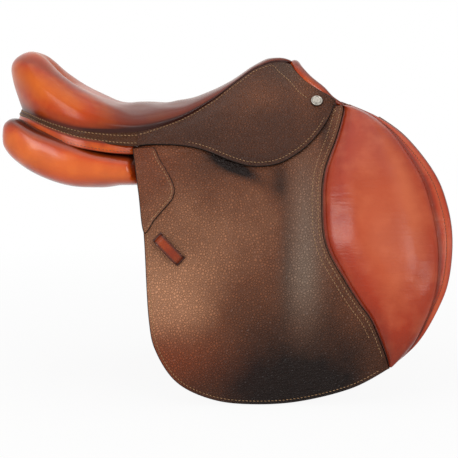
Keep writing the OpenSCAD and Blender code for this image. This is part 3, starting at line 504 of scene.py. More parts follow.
def grainedHide(name, look):
    # shrunken cowhide, drum-dyed dark brown: pebbled grain with lighter tops and dark valleys, partly the
    # grain's own colour and partly painted highlight and painted shade, half gloss; the pebble is drawn about
    # twice its real size so that it shows at this distance
    material, tree, place = startMaterial(name)
    cloud = noise(tree, place, look["mottleMm"], detail=5.0, roughness=0.6)["Fac"]
    warp = noise(tree, place, look["pebbleMm"] * look["warpCells"], detail=2.0)["Color"]
    moved = addNode(tree, "VectorMath", {0: warp}, {1: [look["bentMm"] * mm] * 3}, operation="MULTIPLY")
    bent = addNode(tree, "VectorMath", {0: place, 1: moved.outputs[0]}, operation="ADD")
    pebble = addNode(tree, "TexVoronoi", {"Vector": bent.outputs[0]}, {"Scale": perMetre(look["pebbleMm"])},
                     feature="DISTANCE_TO_EDGE")
    top = between(tree, pebble.outputs["Distance"], *look["slope"], interpolation_type="SMOOTHSTEP")
    shift = maths(tree, "MULTIPLY", maths(tree, "SUBTRACT", cloud, 0.5), look["mottled"])
    # the tone mark, with the cloudy shift: painted highlight and painted shade, and on the flap also darker
    # streaks of wear
    whole = maths(tree, "ADD", markOf(tree, "tone"), shift)
    light = mixed(tree, between(tree, whole), look["middle"], look["light"])
    dark = mixed(tree, between(tree, whole, 0.0, -1.0), light, look["dark"])
    grey = mixed(tree, markOf(tree, "worn"), dark, look["grey"])
    red = mixed(tree, markOf(tree, "rust"), grey, look["rust"])
    # valleys go dark between the pebble tops: painted shade, partly the grain's own colour
    pebbled = mixed(tree, between(tree, top, 0.0, 1.0, look["valley"], 1.0), look["dark"], red)
    cutEdge = between(tree, markOf(tree, "edgeMm"), *look["edgeMm"])
    body = mixed(tree, cutEdge, pebbled, look["edge"])
    raised = maths(tree, "MULTIPLY", top, maths(tree, "SUBTRACT", 1.0, cutEdge))
    bump = relief(tree, raised, look["raised"], look["raisedMm"])
    surface(tree, body, between(tree, cloud, 0.0, 1.0, *look["gloss"]), bump,
            {"Specular IOR Level": look["specular"], "Coat Weight": look["coat"], "Coat IOR": look["coatIor"],
             "Coat Roughness": look["coatRough"]})
    return material


plain = {"contrast": (0.3, 0.7), "relief": 0.4, "glossRange": 0.15, "wander": 0.6}


def plainLook(name, light, dark, patternMm, roughness, metallic=0.0, stretch=(1, 1, 1), bumpMm=0.05,
              weave=False, ior=1.5):
    # a plain finish: one pattern in two tones, with a little relief; stretch draws the pattern out
    material, tree, place = startMaterial(name)
    turned = addNode(tree, "Mapping", {"Vector": place}, {"Scale": stretch}).outputs[0]
    if weave:
        # over and under threads: two sets of stripes that cross
        values = {"Scale": perMetre(patternMm) / 2, "Distortion": plain["wander"]}
        sets = [addNode(tree, "TexWave", {"Vector": turned}, values, wave_type="BANDS", bands_direction=way)
                for way in ("X", "DIAGONAL")]
        pattern = maths(tree, "MULTIPLY", *(threads.outputs["Fac"] for threads in sets))
    else:
        pattern = noise(tree, turned, patternMm, detail=5.0)["Fac"]
    colour = mixed(tree, between(tree, pattern, *plain["contrast"]), light, dark)
    rough = between(tree, pattern, 0.0, 1.0, roughness, min(1.0, roughness + plain["glossRange"]))
    bump = relief(tree, pattern, plain["relief"], bumpMm)
    surface(tree, colour, rough, bump, {"Metallic": metallic, "IOR": ior}, coated=False)
    return material


seatCalf = smoothCalf("glazed_calf_seat", {**calf, "bright": "#E07626", "middle": "#B84010", "cloud": 0.4,
                                           "sheen": 0.2, "coat": 0.65, "coatRough": 0.24})
padCalf = smoothCalf("glazed_calf_knee_pad", {**calf, "middle": "#A63008", "bright": "#D06C44",
                                              "deep": "#862204", "cloud": 0.4, "coatRough": 0.26,
                                              "coatIor": 1.36, "creaseMm": 5, "creased": 0.3,
                                              "stretch": (0.16, 0.16, 1.0)})
panelCalf = smoothCalf("glazed_calf_panel", {**calf, "middle": "#C84812", "bright": "#F07E26", "coat": 1.0,
                                             "coatRough": 0.22, "coatIor": 1.42})
trimCalf = smoothCalf("glazed_calf_trim", {**calf, "mottleMm": 40})
flapHide = grainedHide("pebbled_cowhide_flap", grain)
skirtHide = grainedHide("pebbled_cowhide_skirt", {**grain, "middle": "#593320", "light": "#8A553A",
                                                  "pebbleMm": 3.6})
stripHide = grainedHide("pebbled_cowhide_strip", {**grain, "middle": "#553019", "light": "#7A4C34",
                                                  "pebbleMm": 2.6})
underHide = plainLook("bridle_leather_under_flap", "#7A3F22", "#5C2C17", 14, 0.42, bumpMm=0.12, ior=1.48)
strapHide = plainLook("bridle_leather_billet", "#3A2418", "#24150E", 5, 0.45, bumpMm=0.1, ior=1.48)
threadWax = plainLook("waxed_linen_thread", "#B8926A", "#8C6A44", 1.1, 0.6, bumpMm=0.1)
threadDark = plainLook("waxed_linen_thread_dark", "#6E3C22", "#4A2616", 1.1, 0.6, bumpMm=0.1)
nickelPlate = plainLook("polished_nickel", "#A09B92", "#7C776F", 3, 0.12, metallic=1.0, bumpMm=0.01)
forgedSteel = plainLook("plated_forged_steel", "#A4A6A8", "#86888A", 6, 0.28, metallic=1.0, bumpMm=0.04)
springSteel = plainLook("blued_spring_steel", "#5C6166", "#43474C", 4, 0.36, metallic=1.0,
                        stretch=(0.15, 1, 1), bumpMm=0.02)
linenWeb = plainLook("woven_linen_web", "#DDD3B8", "#B5A888", 2.0, 0.85, bumpMm=0.3, weave=True)
beechPly = plainLook("laminated_beech", "#C79C68", "#A97C4B", 3, 0.5, stretch=(0.08, 1, 1), bumpMm=0.05)
print("materials made")

# flap outlines as shares of its width and height: back leads to the knee pad's foot, front and grip leave it;
# sweat flap and patch are each cut into a front and a rear edge at their foot, which is a point's number
flap = {"rearX": seatRear + 0.4213 * seatLength, "lowZ": -292.0,
        "width": 1.1168 * seatLength, "height": 410.0,
        "foldGap": 2.4, "sweatGap": 31, "round": 1.3, "steps": 24, "endPoints": 40,
        "sweatFoot": 9, "patchFoot": 9, "patchTop": 1, "patchRows": 60, "patchColumns": 20,
        "back": [[0.004, 0.848], [0.024, 0.725], [0.046, 0.56], [0.062, 0.29], [0.085, 0.178], [0.15, 0.074],
                 [0.26, 0.016], [0.386, 0], [0.53, 0.011], [0.69, 0.057], [0.805, 0.126]],
        "front": [[0.805, 0.126], [0.892, 0.213], [0.957, 0.332], [0.988, 0.426], [1, 0.556], [0.986, 0.668],
                  [0.95, 0.768], [0.87, 0.878], [0.786, 0.944], [0.697, 0.986]],
        "grip": [[0.805, 0.126], [0.785, 0.19], [0.748, 0.284], [0.709, 0.343], [0.667, 0.412], [0.608, 0.53],
                 [0.597, 0.655], [0.607, 0.765], [0.65, 0.88], [0.676, 0.965], [0.672, 0.986]],
        "sweat": [[0.06, 0.82], [0.072, 0.6], [0.09, 0.29], [0.115, 0.178], [0.18, 0.08], [0.28, 0.03],
                  [0.386, 0.018], [0.53, 0.03], [0.69, 0.075], [0.79, 0.14], [0.86, 0.235],
                  [0.93, 0.345], [0.972, 0.44], [0.992, 0.556], [0.988, 0.668], [0.954, 0.768],
                  [0.874, 0.88], [0.79, 0.948]],
        "patch": [[0.0045, 0.848], [0.068, 0.848], [0.093, 0.806], [0.116, 0.769], [0.136, 0.727],
                  [0.14, 0.705], [0.134, 0.68], [0.114, 0.654], [0.08, 0.613], [0.046, 0.572],
                  [0.027, 0.7], [0.0045, 0.848]]}
# seams of the flap: mm in from their edge, then mm left bare at the line's two ends
seams = {"back": (-5.0, (14, 7)), "grip": (5.4, (18, 3)), "gripInner": (13.2, (48, 3)),
         "patch": (4.0, (3, 2)), "width": 0.8, "depth": 0.35, "threadIn": 0.3,
         "patchWidth": 0.7, "patchDepth": 0.3, "patchThreadIn": 0.2}
# extra steps (mm) near a cut edge, for its rounding and for the first seam, more for a second seam,
# and a few where a sheet's rows begin and end
closeSteps = [0, 0.12, 0.32, 0.6, 0.95, 1.35, 2.0, 2.9, 3.7, 4.5, 5.2, 5.9, 6.7, 7.6, 9.0]
seamSteps = closeSteps + [10.4, 11.8, 12.6, 13.4, 14.2, 15.2, 17]
rowSteps = [0, 0.3, 0.8, 1.5, 2.4]

# marks on the flap as spots: a lighter middle, left and lower left that are painted highlight, a dark foot
# and lower right that are painted shade, a dark band and tilted smear below the skirt's edge that are partly
# stirrup-leather wear and partly painted shade under the skirt, narrow dark streaks of stirrup wear, a narrow
# painted shadow under the skirt's front corner, a dull grey worn band beside the knee pad, and rusty areas
wearAndLight = {"tone": [[1.2, -86, -158, 66, 68], [0.3, 5, -70, 75, 60], [0.15, -100, -60, 60, 80],
                 [-0.9, 95, -250, 135, 115], [-0.5, 0, 30, 52, 16], [-0.8, 70, 8, 12, 26],
                 [-0.5, 80, -85, 9, 75], [-0.7, 134, 78, 9, 30]],
        "plain": 0.02, "foot": 0.35, "footZ": -170, "footFade": 120,
        "smearAndShadeAt": [4, 30], "smearAndShadeTurn": [[0.886, 0.463], [-0.463, 0.886]], "smearAndShade": [[-1.3, 0, 0, 44, 8]],
        "worn": [[0.7, 104, -45, 22, 80], [0.65, 100, -125, 24, 55]],
        "rust": [[0.75, -95, -225, 75, 42], [0.4, -120, 50, 45, 70]]}


def onFlap(shares):
    return np.asarray(shares) * [flap["width"], flap["height"]] + [flap["rearX"], flap["lowZ"]]


def flapLine(name):
    return onFlap(smoothLine(flap[name], flap["steps"]))


def belowFold(line, drop):
    # a side-view line walked upwards, ended drop mm below the fold line
    over = line[:, 1] - hingeAt(line[:, 0])[:, 2] + drop / math.cos(barrel["tilt"])
    if (over < 0).all():
        return line
    k = int(np.argmax(over >= 0))
    t = over[k - 1] / (over[k - 1] - over[k])
    return np.vstack([line[:k], line[k - 1] + (line[k] - line[k - 1]) * t])


def ruledLeather(front, rear, layer, rows=110, columns=56, near=closeSteps, grooves=(), tone=None):
    # straight lines join two edges that leave the same foot, each edge walked evenly; laid on the barrel
    inner, outer = layers[layer]
    b = edgeSteps(np.array(min(lineLength(front), lineLength(rear))), rowSteps, rows)
    left, right = (evenLine(k, b * lineLength(k)) for k in (front, rear))
    a = edgeSteps(np.linalg.norm(left - right, axis=1), near, columns)[..., None]
    xz = left[:, None] * (1 - a) + right[:, None] * a
    middle = onBarrel(xz, (inner + outer) / 2)
    top = np.linspace(left[-1], right[-1], flap["endPoints"])
    cutLines = [onBarrel(k, (inner + outer) / 2) for k in (left, right, top)]
    marks = tone(xz) if tone else {"tone": np.zeros(a.shape[:2])}
    roundMm = min(flap["round"], (outer - inner) / 2)
    return leatherSheet(middle, barrelNormal(middle), outer - inner, cutLines, roundMm, grooves, marks)


def insetLine(line, inset, radius, skip, everyMm=2):
    # a side-view line moved sideways into the leather by inset mm and laid on the barrel, with its normals
    go = unit(np.gradient(line, axis=0))
    moved = line + inset * np.stack([-go[:, 1], go[:, 0]], -1)
    total = lineLength(moved)
    laid = onBarrel(evenLine(moved, np.linspace(skip[0], total - skip[1], int(total / everyMm))), radius)
    return laid, barrelNormal(laid)


def flapTone(xz):
    x, z = xz[..., 0], xz[..., 1]
    # tone: painted highlight and painted shade, stirrup-wear streaks, and the smear below the skirt, partly
    # wear and partly painted shade; the darker foot is painted shade
    smearAndShadePlace = (xz - wearAndLight["smearAndShadeAt"]) @ np.array(wearAndLight["smearAndShadeTurn"])
    tone = wearAndLight["plain"] + spots(x, z, wearAndLight["tone"]) + spots(smearAndShadePlace[..., 0], smearAndShadePlace[..., 1], wearAndLight["smearAndShade"])
    return {"tone": tone - wearAndLight["foot"] * ease((wearAndLight["footZ"] - z) / wearAndLight["footFade"]),
            "worn": spots(x, z, wearAndLight["worn"]), "rust": spots(x, z, wearAndLight["rust"])}


flapBack = belowFold(flapLine("back")[::-1], flap["foldGap"])
flapFront = flapLine("front")
gripEdge = flapLine("grip")
sweatLine = flapLine("sweat")
sweatFoot = flap["sweatFoot"] * flap["steps"]
sweatRear = belowFold(sweatLine[:sweatFoot + 1][::-1], flap["sweatGap"])
sweatFront = belowFold(sweatLine[sweatFoot:], flap["sweatGap"])
patchLine = flapLine("patch")
patchFoot = flap["patchFoot"] * flap["steps"]
patchFront = belowFold(patchLine[flap["patchTop"] * flap["steps"]:patchFoot + 1][::-1], flap["foldGap"])
patchRear = belowFold(patchLine[patchFoot:], flap["foldGap"])
seamGrooves = [(edge, abs(seams[name][0]), seams["width"], seams["depth"])
               for edge, name in ((0, "grip"), (0, "gripInner"), (1, "back"))]
patchGroove = (0, seams["patch"][0], seams["patchWidth"], seams["patchDepth"])

flapSheet = ruledLeather(flapFront, flapBack, "flap")
sweatSheet = ruledLeather(sweatFront, sweatRear, "sweat")
gripSheet = ruledLeather(gripEdge, flapBack, "grip", near=seamSteps, grooves=seamGrooves, tone=flapTone)
patchSheet = ruledLeather(patchFront, patchRear, "patch", flap["patchRows"], flap["patchColumns"],
                          grooves=[patchGroove], tone=flapTone)
pairOf("flap_base", flapSheet, underHide, "flap_*", ["flap"])
pairOf("sweat_flap_sheet", sweatSheet, underHide, "saddle", ["sweat_flap"])
pairOf("grip_leather", gripSheet, flapHide, "flap_*", ["grip"])
pairOf("patch_leather", patchSheet, flapHide, "flap_*", ["flap_patch"])
print("flap leathers made")

# keeper: a strap that rises from one sewn foot over its tunnel to the other;
# tones are bells in mm from its middle; darker along its long edges and at both ends, painted shade where a
# rounded loop turns away and dips to its feet
keeper = {"share": [0.1245, 0.519], "turn": math.radians(-45), "half": 23.9, "width": 15.8, "thick": 2.6,
          "radius": 502.1, "round": 1.2, "seam": 5, "seamEnds": 12, "pitch": 3.6, "plain": -0.5,
          "toneAlong": [[-0.5, 23.5, 4.0]], "toneAcross": [[-0.5, 7.9, 2.4]],
          "rise": [[-1, 1.3], [-0.93, 1.4], [-0.86, 2.6], [-0.79, 5.6], [-0.68, 7.5], [-0.4, 7.75], [0, 7.8]],
          "acrossSteps": [0, 0.12, 0.35, 0.7, 1.2, 1.8], "alongSteps": [0, 0.15, 0.4, 0.8, 1.3],
          "endMm": 2, "riseSteps": 6, "rows": 60, "columns": 9}


def keeperStrap():
    # the rise is mirrored at the strap's middle, walked with close steps at both ends, turned and laid
    # on the flap; its seams are returned beside it
    rise = np.array(keeper["rise"])
    rise = smoothLine(np.vstack([rise, rise[-2::-1] * [-1, 1]]) * [keeper["half"], 1], keeper["riseSteps"])
    total, close = lineLength(rise), np.array(keeper["alongSteps"])
    inner = np.linspace(keeper["endMm"], total - keeper["endMm"], keeper["rows"])
    rise = evenLine(rise, np.concatenate([close, inner, total - close[::-1]]))
    shares = edgeSteps(np.array(keeper["width"]), keeper["acrossSteps"], keeper["columns"])
    wide = (shares - 0.5) * keeper["width"]
    along, wide = np.broadcast_arrays(rise[:, :1], wide)
    cos, sin = math.cos(keeper["turn"]), math.sin(keeper["turn"])
    flat = np.stack([along, wide], -1) @ np.array([[cos, sin], [-sin, cos]]) + onFlap(keeper["share"])
    middle = onBarrel(flat, keeper["radius"] + rise[:, 1:])
    normal = unit(np.cross(np.gradient(middle, axis=0), np.gradient(middle, axis=1)))
    normal = normal * np.sign((normal * barrelNormal(middle)).sum(-1, keepdims=True))
    # painted shade along the long edges and at both ends
    tone = keeper["plain"] + bells(np.abs(along), keeper["toneAlong"])
    tone = tone + bells(np.abs(wide), keeper["toneAcross"])
    cutLines = [middle[0], middle[-1], middle[:, 0], middle[:, -1]]
    strap = leatherSheet(middle, normal, keeper["thick"], cutLines, keeper["round"], marks={"tone": tone})
    rows = slice(keeper["seamEnds"], -keeper["seamEnds"])
    columns = [np.abs(wide[0] - place).argmin() for place in (keeper["seam"], -keeper["seam"])]
    outer = middle + normal * keeper["thick"] / 2
    return strap, [stitchRow(outer[rows, k], normal[rows, k], keeper["pitch"]) for k in columns]


keeperShape, keeperSeams = keeperStrap()
pairOf("keeper_loop", keeperShape, trimCalf, "flap_*", ["keeper"])

# knee pad: share a runs across from the grip leather's edge to the flap's front edge, share b up the pad;
# runs are (first, last, count) of the grid's steps; tones are bells in a or b, or spots in both
pad = {"base": 499.4, "leather": 2.1, "crown": 15.0, "from": 0.03, "to": 0.87, "edge": 0.995, "round": 1.6,
       "sidePower": 3, "endPower": 6, "shoulder": 0.6, "stitchIn": 8.5, "groove": 0.4, "grooveWide": 1.0,
       "acrossRuns": [(0.012, 0.03, 5), (0.033, 0.2, 24), (0.215, 0.74, 32), (0.75, 0.87, 24),
                      (0.877, 0.975, 16)],
       "acrossEnd": [0.981, 0.986, 0.99, 0.993, 0.9945, 0.995], "upRun": (0.035, 0.965, 104),
       "upStart": [0.015, 0.017, 0.02, 0.026], "upEnd": [0.974, 0.98, 0.983, 0.985],
       # the two tone spots are painted highlights on the crown; the dark bells at the grip's edge and at the
       # groove before the flange are painted shade
       "toneSpots": [[0.5, 0.42, 0.5, 0.22, 0.25], [0.6, 0.7, 0.62, 0.1, 0.2]],
       "toneAcross": [[-0.15, 0.1, 0.1], [-0.5, 0.012, 0.03], [-0.55, 0.885, 0.022], [0.3, 0.945, 0.03],
                      [-0.5, 1.0, 0.012]], "toneUp": [[-0.45, 0.06, 0.09], [-0.2, 1.0, 0.12]],
       "gather": [[0.22, 0.88, 0.03]], "gatherWaves": 190, "gatherBend": 6, "gatherDrift": 31,
       "fold": [[0.16, 0.16, 0.60, 0.13, 0.05]], "foldWaves": 420, "foldSlant": 9,
       "freeAcross": (0.45, 0.34, 0.07), "freeUp": (0.5, 0.4, 0.06),
       "voxel": 4.5, "pressure": 40.0, "slack": 0.018,
       "seamRun": (0.06, 0.98, 400), "seamPitch": 4.2, "seamIn": 0.35}


def padPlace(a, b):
    # side-view place: straight across from the grip edge to the flap's front edge at the same share b of both
    left, right = (rowsAt(flap[name], b * (len(flap[name]) - 1)) for name in ("grip", "front"))
    return onFlap(left * (1 - a[..., None]) + right * a[..., None])


def padCrown(a, b):
    # height of the stuffing: flat-topped across the pad and easing out at its two ends
    k = np.clip((a - pad["from"]) / (pad["to"] - pad["from"]), 0, 1)
    across = (1 - np.abs(2 * k - 1) ** pad["sidePower"]) ** pad["shoulder"]
    return pad["crown"] * across * np.sqrt(1 - np.abs(2 * b - 1) ** pad["endPower"])


def padPuckers(a, b):
    # small waves: along the gathered foot of the crown, drifting a little, and finer ones beside the grip
    drift = pad["gatherBend"] * np.sin(b * pad["gatherDrift"])
    gather = bells(a, pad["gather"]) * np.sin(b * pad["gatherWaves"] + drift)
    return gather + spots(a, b, pad["fold"]) * np.sin(b * pad["foldWaves"] + pad["foldSlant"] * a)


def heldOutside(v, middle, half, fade):
    # 0 within half of the middle, and 1 further out
    return ease((np.abs(v - middle) - half) / fade)


def padCushion():
    # the cover's upper face stands on the barrel by leather, crown and puckers, less the groove of its seam
    across = np.concatenate([np.linspace(*run) for run in pad["acrossRuns"]] + [pad["acrossEnd"]])
    up = np.concatenate([pad["upStart"], np.linspace(*pad["upRun"]), pad["upEnd"]])
    b, a = np.meshgrid(up, across, indexing="ij")
    xz = padPlace(a, b)
    edge = np.linalg.norm(padPlace(np.full_like(a, pad["edge"]), b) - xz, axis=-1)
    skin = pad["leather"] * np.sqrt(1 - (1 - np.clip(edge / pad["round"], 0, 1)) ** 2)
    groove = pad["groove"] * bell(edge, pad["stitchIn"], pad["grooveWide"])
    high = skin + padCrown(a, b) + padPuckers(a, b) - groove
    # painted highlights on the crown, painted shade at the grip's edge and in the groove
    tone = spots(a, b, pad["toneSpots"]) + bells(a, pad["toneAcross"]) + bells(b, pad["toneUp"])
    hold = np.maximum(heldOutside(a, *pad["freeAcross"]), heldOutside(b, *pad["freeUp"]))
    shape = closedGrid(onBarrel(xz, pad["base"] + high), onBarrel(xz, pad["base"]), {"tone": tone})
    return puffed(shape, np.append(hold, np.ones(hold.size)), pad["voxel"], pad["pressure"], pad["slack"])


for piece in pairOf("knee_pad_cushion", padCushion(), padCalf, "flap_*",
                    ["knee_pad", "knee_foam"]).values():
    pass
print("knee pads made")

# seat rows from pommel to cantle: edge x, edge half-width, seam height, rim height, spine x and spine height;
# for each row, how far the cantle's roll leans out over its seam, and how square its section is
seat = {"half": 115.0, "baseZ": 77.0, "rise": 109.0, "lean": 18.5, "leanGain": 1.6, "leanPower": 6,
        "roll": 2.6, "cantleRoll": 11, "dish": 2, "cantleDish": 4, "foam": 22.0, "foamEdge": 3.0,
        "steps": 9, "across": 91,
        "rows": [[1, 0, 0.835, 0.9, 0.94, 0.93], [0.995, 0.104, 0.853, 0.927, 0.935, 0.93],
                 [0.97, 0.165, 0.885, 0.95, 0.925, 0.929], [0.924, 0.183, 0.88, 0.932, 0.905, 0.915],
                 [0.886, 0.196, 0.835, 0.876, 0.88, 0.872], [0.845, 0.235, 0.761, 0.8, 0.845, 0.8],
                 [0.779, 0.348, 0.587, 0.638, 0.779, 0.638], [0.703, 0.478, 0.376, 0.5, 0.703, 0.5],
                 [0.591, 0.661, 0.147, 0.367, 0.591, 0.367], [0.464, 0.87, 0.018, 0.324, 0.464, 0.321],
                 [0.386, 0.957, 0, 0.367, 0.386, 0.335], [0.305, 1, 0.018, 0.495, 0.305, 0.394],
                 [0.223, 0.974, 0.055, 0.63, 0.236, 0.48], [0.14, 0.852, 0.128, 0.8, 0.197, 0.545],
                 [0.081, 0.696, 0.193, 0.92, 0.178, 0.58], [0.038, 0.487, 0.239, 0.99, 0.165, 0.606],
                 [0.01, 0.261, 0.261, 1.02, 0.156, 0.625], [0, 0, 0.266, 1.03, 0.15, 0.64]],
        "leans": [0.25, 0.2, 0, 0, 0, 0, 0, 0.1, 0.2, 0.3, 0.4, 0.5, 0.7, 0.85, 0.95, 1, 1, 1],
        "squares": [0, 0, 0, 0, 0, 0, 0, 0, 0, 0, 0, 0, 0, 0.03, 0.12, 0.4, 0.85, 1],
        "freeAcross": (0, 0.97, 0.02), "freeRow": 8, "freeFade": 2,
        "voxel": 6.0, "pressure": 0.6, "slack": 0.008}
# tones on the seat: up the cantle's roll, a painted highlight on its middle and painted shade where it turns
# to the top, a lighter top there that is a painted reflection, painted shade low down by the seam, a dark
# seam line, and darker towards the front
seatLightAndSeam = {"roll": [[0.4, 0.55, 0.2], [-0.35, 0.88, 0.07]], "top": 0.25, "topFrom": 0.93, "topFade": 0.06,
           "rollRow": 10, "rollFade": 3, "foot": 0.4, "footHigh": 0.35, "front": 0.75, "frontRow": 12.2,
           "frontFade": 3, "seam": [[-0.5, 1, 0.0006]]}
lastRow = len(seat["rows"]) - 1


def onSeat(shares):
    return np.asarray(shares, float) * [seatLength, seat["half"], seat["rise"]] + [seatRear, 0, seat["baseZ"]]


def seatEdge(s):
    return onSeat(rowsAt(seat["rows"], s)[..., :3])


def seatMid(s):
    spine = rowsAt(seat["rows"], s)[..., 4:]
    return onSeat(np.stack([spine[..., 0], 0 * s, spine[..., 1]], -1))


def seatHeight(s, c):
    # the roll from seam to rim: h = sqrt(1 - |c|^roll), squarer round the cantle
    square = rowsAt(seat["squares"], s)[..., 0]
    return np.sqrt(np.maximum(0, 1 - np.abs(c) ** (seat["roll"] + seat["cantleRoll"] * square)))


def seatSurface(s, c, top=True):
    # each row runs from its spine point out to its seam point; the height follows the roll from seam to rim,
    # less a dish across the middle, and the cantle's roll leans out past its seam; the underside is plain
    row, edge, mid = rowsAt(seat["rows"], s), seatEdge(s), seatMid(s)
    way = (edge - mid) * [1, 1, 0]
    far = np.maximum(np.linalg.norm(way, axis=-1), 1e-6)
    lean = rowsAt(seat["leans"], s)[..., 0]
    h = seatHeight(s, c)
    over = seat["lean"] * lean * seat["leanGain"] * h * (1 - h ** seat["leanPower"])
    reach = np.abs(c) * (far + top * over) / far
    x = mid[..., 0] + way[..., 0] * reach
    y = np.where(c < 0, -1, 1) * way[..., 1] * reach
    if top:
        seam, rim, spine = row[..., 2], row[..., 3], row[..., 5]
        dish = (rim - spine) * (1 - c * c) ** (seat["dish"] + seat["cantleDish"] * lean)
        z = seat["baseZ"] + seat["rise"] * (seam + (rim - seam) * h - dish)
    else:
        z = (edge[..., 2] - seat["foamEdge"]) * c * c + (mid[..., 2] - seat["foam"]) * (1 - c * c)
    return np.stack([x, y, z], -1)


def seatTone(s, c):
    # painted highlight, shade and reflection up the cantle's roll, painted shade low down by the seam, a dark
    # seam line, darker towards the front
    h = seatHeight(s, c)
    roll = bells(h, seatLightAndSeam["roll"]) + seatLightAndSeam["top"] * ease((h - seatLightAndSeam["topFrom"]) / seatLightAndSeam["topFade"])
    tone = ease((s - seatLightAndSeam["rollRow"]) / seatLightAndSeam["rollFade"]) * roll + bells(np.abs(c), seatLightAndSeam["seam"])
    tone = tone - seatLightAndSeam["foot"] * ease((seatLightAndSeam["footHigh"] - h) / seatLightAndSeam["footHigh"])
    return tone - seatLightAndSeam["front"] * ease((seatLightAndSeam["frontRow"] - s) / seatLightAndSeam["frontFade"])


def seatCushion():
    s, turn = np.meshgrid(np.linspace(0, lastRow, lastRow * seat["steps"] + 1),
                          np.linspace(-np.pi / 2, np.pi / 2, seat["across"]), indexing="ij")
    c = np.sin(turn)
    shape = closedGrid(seatSurface(s, c), seatSurface(s, c, False), {"tone": seatTone(s, c)})
    hold = np.maximum(heldOutside(c, *seat["freeAcross"]), ease((seat["freeRow"] - s) / seat["freeFade"]))
    return puffed(shape, np.append(hold, np.ones(hold.size)), seat["voxel"], seat["pressure"], seat["slack"])


seatPiece = makePiece("seat_cushion", **seatCushion())
finishPiece(seatPiece, "saddle", seatCalf, ["seat_cover", "seat_foam"])
print("seat made")

# skirt: from the seat's seam over the fold line to its free lower edge; tones are spots in x and z
skirt = {"rearX": seatRear + 0.4467 * seatLength, "lowZ": 30.0, "width": 0.7005 * seatLength, "height": 88.0,
         "thick": 3.6, "round": 1.5, "firstRow": 9.2, "lastRow": 2.0, "seamGap": 0.7, "foldTop": 7.0,
         "foldLow": 12.0, "foldFade": 25, "rows": 150, "steps": 34, "stitchIn": 5.2, "threadIn": 0.3,
         "seamTop": 2, "seamEnds": (1, 2), "seamPoints": 120, "pommelSteps": 12, "freeSteps": 16,
         "edge": [[0, 0.317], [0.073, 0.333], [0.192, 0.323], [0.291, 0.281], [0.368, 0.206], [0.445, 0.11],
                  [0.529, 0.026], [0.598, 0], [0.681, 0.026], [0.752, 0.11], [0.837, 0.281], [0.909, 0.503],
                  [0.969, 0.77], [0.993, 0.96]],
         "pommel": [[0.992, 0.25, 0.85], [1.024, 0.39, 0.706], [1.08, 0.539, 0.546], [1.13, 0.64, 0.437],
                    [1.147, 0.69, 0.365]],
         "topSteps": [0, 0.004, 0.01, 0.02, 0.035, 0.055, 0.08, 0.105, 0.13, 0.155], "topRun": (0.19, 1, 34),
         "plain": -0.12, "tone": [[0.6, 45, 125, 50, 28], [0.5, 110, 140, 22, 40], [-0.45, 85, 178, 24, 16],
                                  [-0.35, 35, 34, 90, 16], [-0.2, -80, 72, 60, 20]],
         "worn": [[0.25, 92, 165, 30, 22]]}


def foldWay(x):
    # direction up the leather at the fold line
    lean = np.arcsin((hingeAt(x)[..., 2] - barrelZ) / barrel["radius"])
    return np.stack([0 * lean, -np.sin(lean), np.cos(lean)], -1)


def skirtTop(p, t):
    # quadratic curve from the seam point to the fold line, reaching it along the leather's own direction
    fold = hingeAt(p[..., 0])
    knee = fold + foldWay(p[..., 0]) * np.linalg.norm(p - fold, axis=-1, keepdims=True) / 2
    t = t[..., None]
    go = unit((knee - p) * (1 - t) + (fold - knee) * t)
    normal = np.stack([0 * go[..., 0], -go[..., 2], go[..., 1]], -1)
    return p * (1 - t) ** 2 + knee * 2 * t * (1 - t) + fold * t ** 2, normal


def skirtTone(points):
    # darker towards the seam, the pommel and the free edge, browner in the middle
    x, z = points[..., 0], points[..., 2]
    return {"tone": skirt["plain"] + spots(x, z, skirt["tone"]), "worn": spots(x, z, skirt["worn"])}


def skirtFall(topLine, topNormal):
    # below the fold each column hangs down the barrel to the free edge, with close steps there
    foldX = topLine[:, 0]
    fold = hingeAt(foldX)
    drop = fold[:, 2] - np.minimum(np.interp(foldX, edgeLine[:, 0], edgeLine[:, 1]), fold[:, 2])
    down = edgeSteps(drop, closeSteps, skirt["steps"])[:, len(closeSteps) - 1:]
    down = (down - down[:, :1]) / (1 - down[:, :1])
    xz = np.stack([np.repeat(foldX[:, None], down.shape[1], 1), fold[:, 2:] - drop[:, None] * down], -1)
    out = onBarrel(xz, barrel["radius"])
    # the fold line leaves the barrel by a millimetre at its ends: that gap fades out below the fold
    near = 1 - ease((fold[:, 2:] - xz[..., 1]) / skirt["foldFade"])
    out[..., 1] += (fold[:, 1] - out[:, 0, 1])[:, None] * near
    first = np.arange(down.shape[1])[None, :, None] == 0
    return out, np.where(first, topNormal[:, -1:], barrelNormal(out))


def blendPair(pair):
    # each side's placement is baked into its points
    for word, side in sides.items():
        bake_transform(pair[word])


seam = seatEdge(np.linspace(skirt["firstRow"], skirt["lastRow"], skirt["seamPoints"]))
seam = seam + [0, skirt["seamGap"], -skirt["seamGap"]]
topLine = np.vstack([seam, onSeat(smoothLine(skirt["pommel"], skirt["pommelSteps"]))])
topLine = evenLine(topLine, np.linspace(0, lineLength(topLine), skirt["rows"]))
edgeLine = smoothLine(skirt["edge"], skirt["freeSteps"]) * [skirt["width"], skirt["height"]]
edgeLine = edgeLine + [skirt["rearX"], skirt["lowZ"]]
topShares = np.concatenate([skirt["topSteps"], np.linspace(*skirt["topRun"])])
topOut, topNormal = skirtTop(np.repeat(topLine[:, None], len(topShares), 1),
                             np.repeat(topShares[None], len(topLine), 0))
topMid = topOut - topNormal * skirt["thick"] / 2
skirtCrown = leatherSheet(topMid, topNormal, skirt["thick"], [topMid[:, 0], topMid[-1]], skirt["round"],
                          marks=skirtTone(topOut))
lowOut, lowNormal = skirtFall(topLine, topNormal)
lowMid = lowOut - lowNormal * skirt["thick"] / 2
skirtGroove = (0, skirt["stitchIn"], seams["width"], seams["depth"])
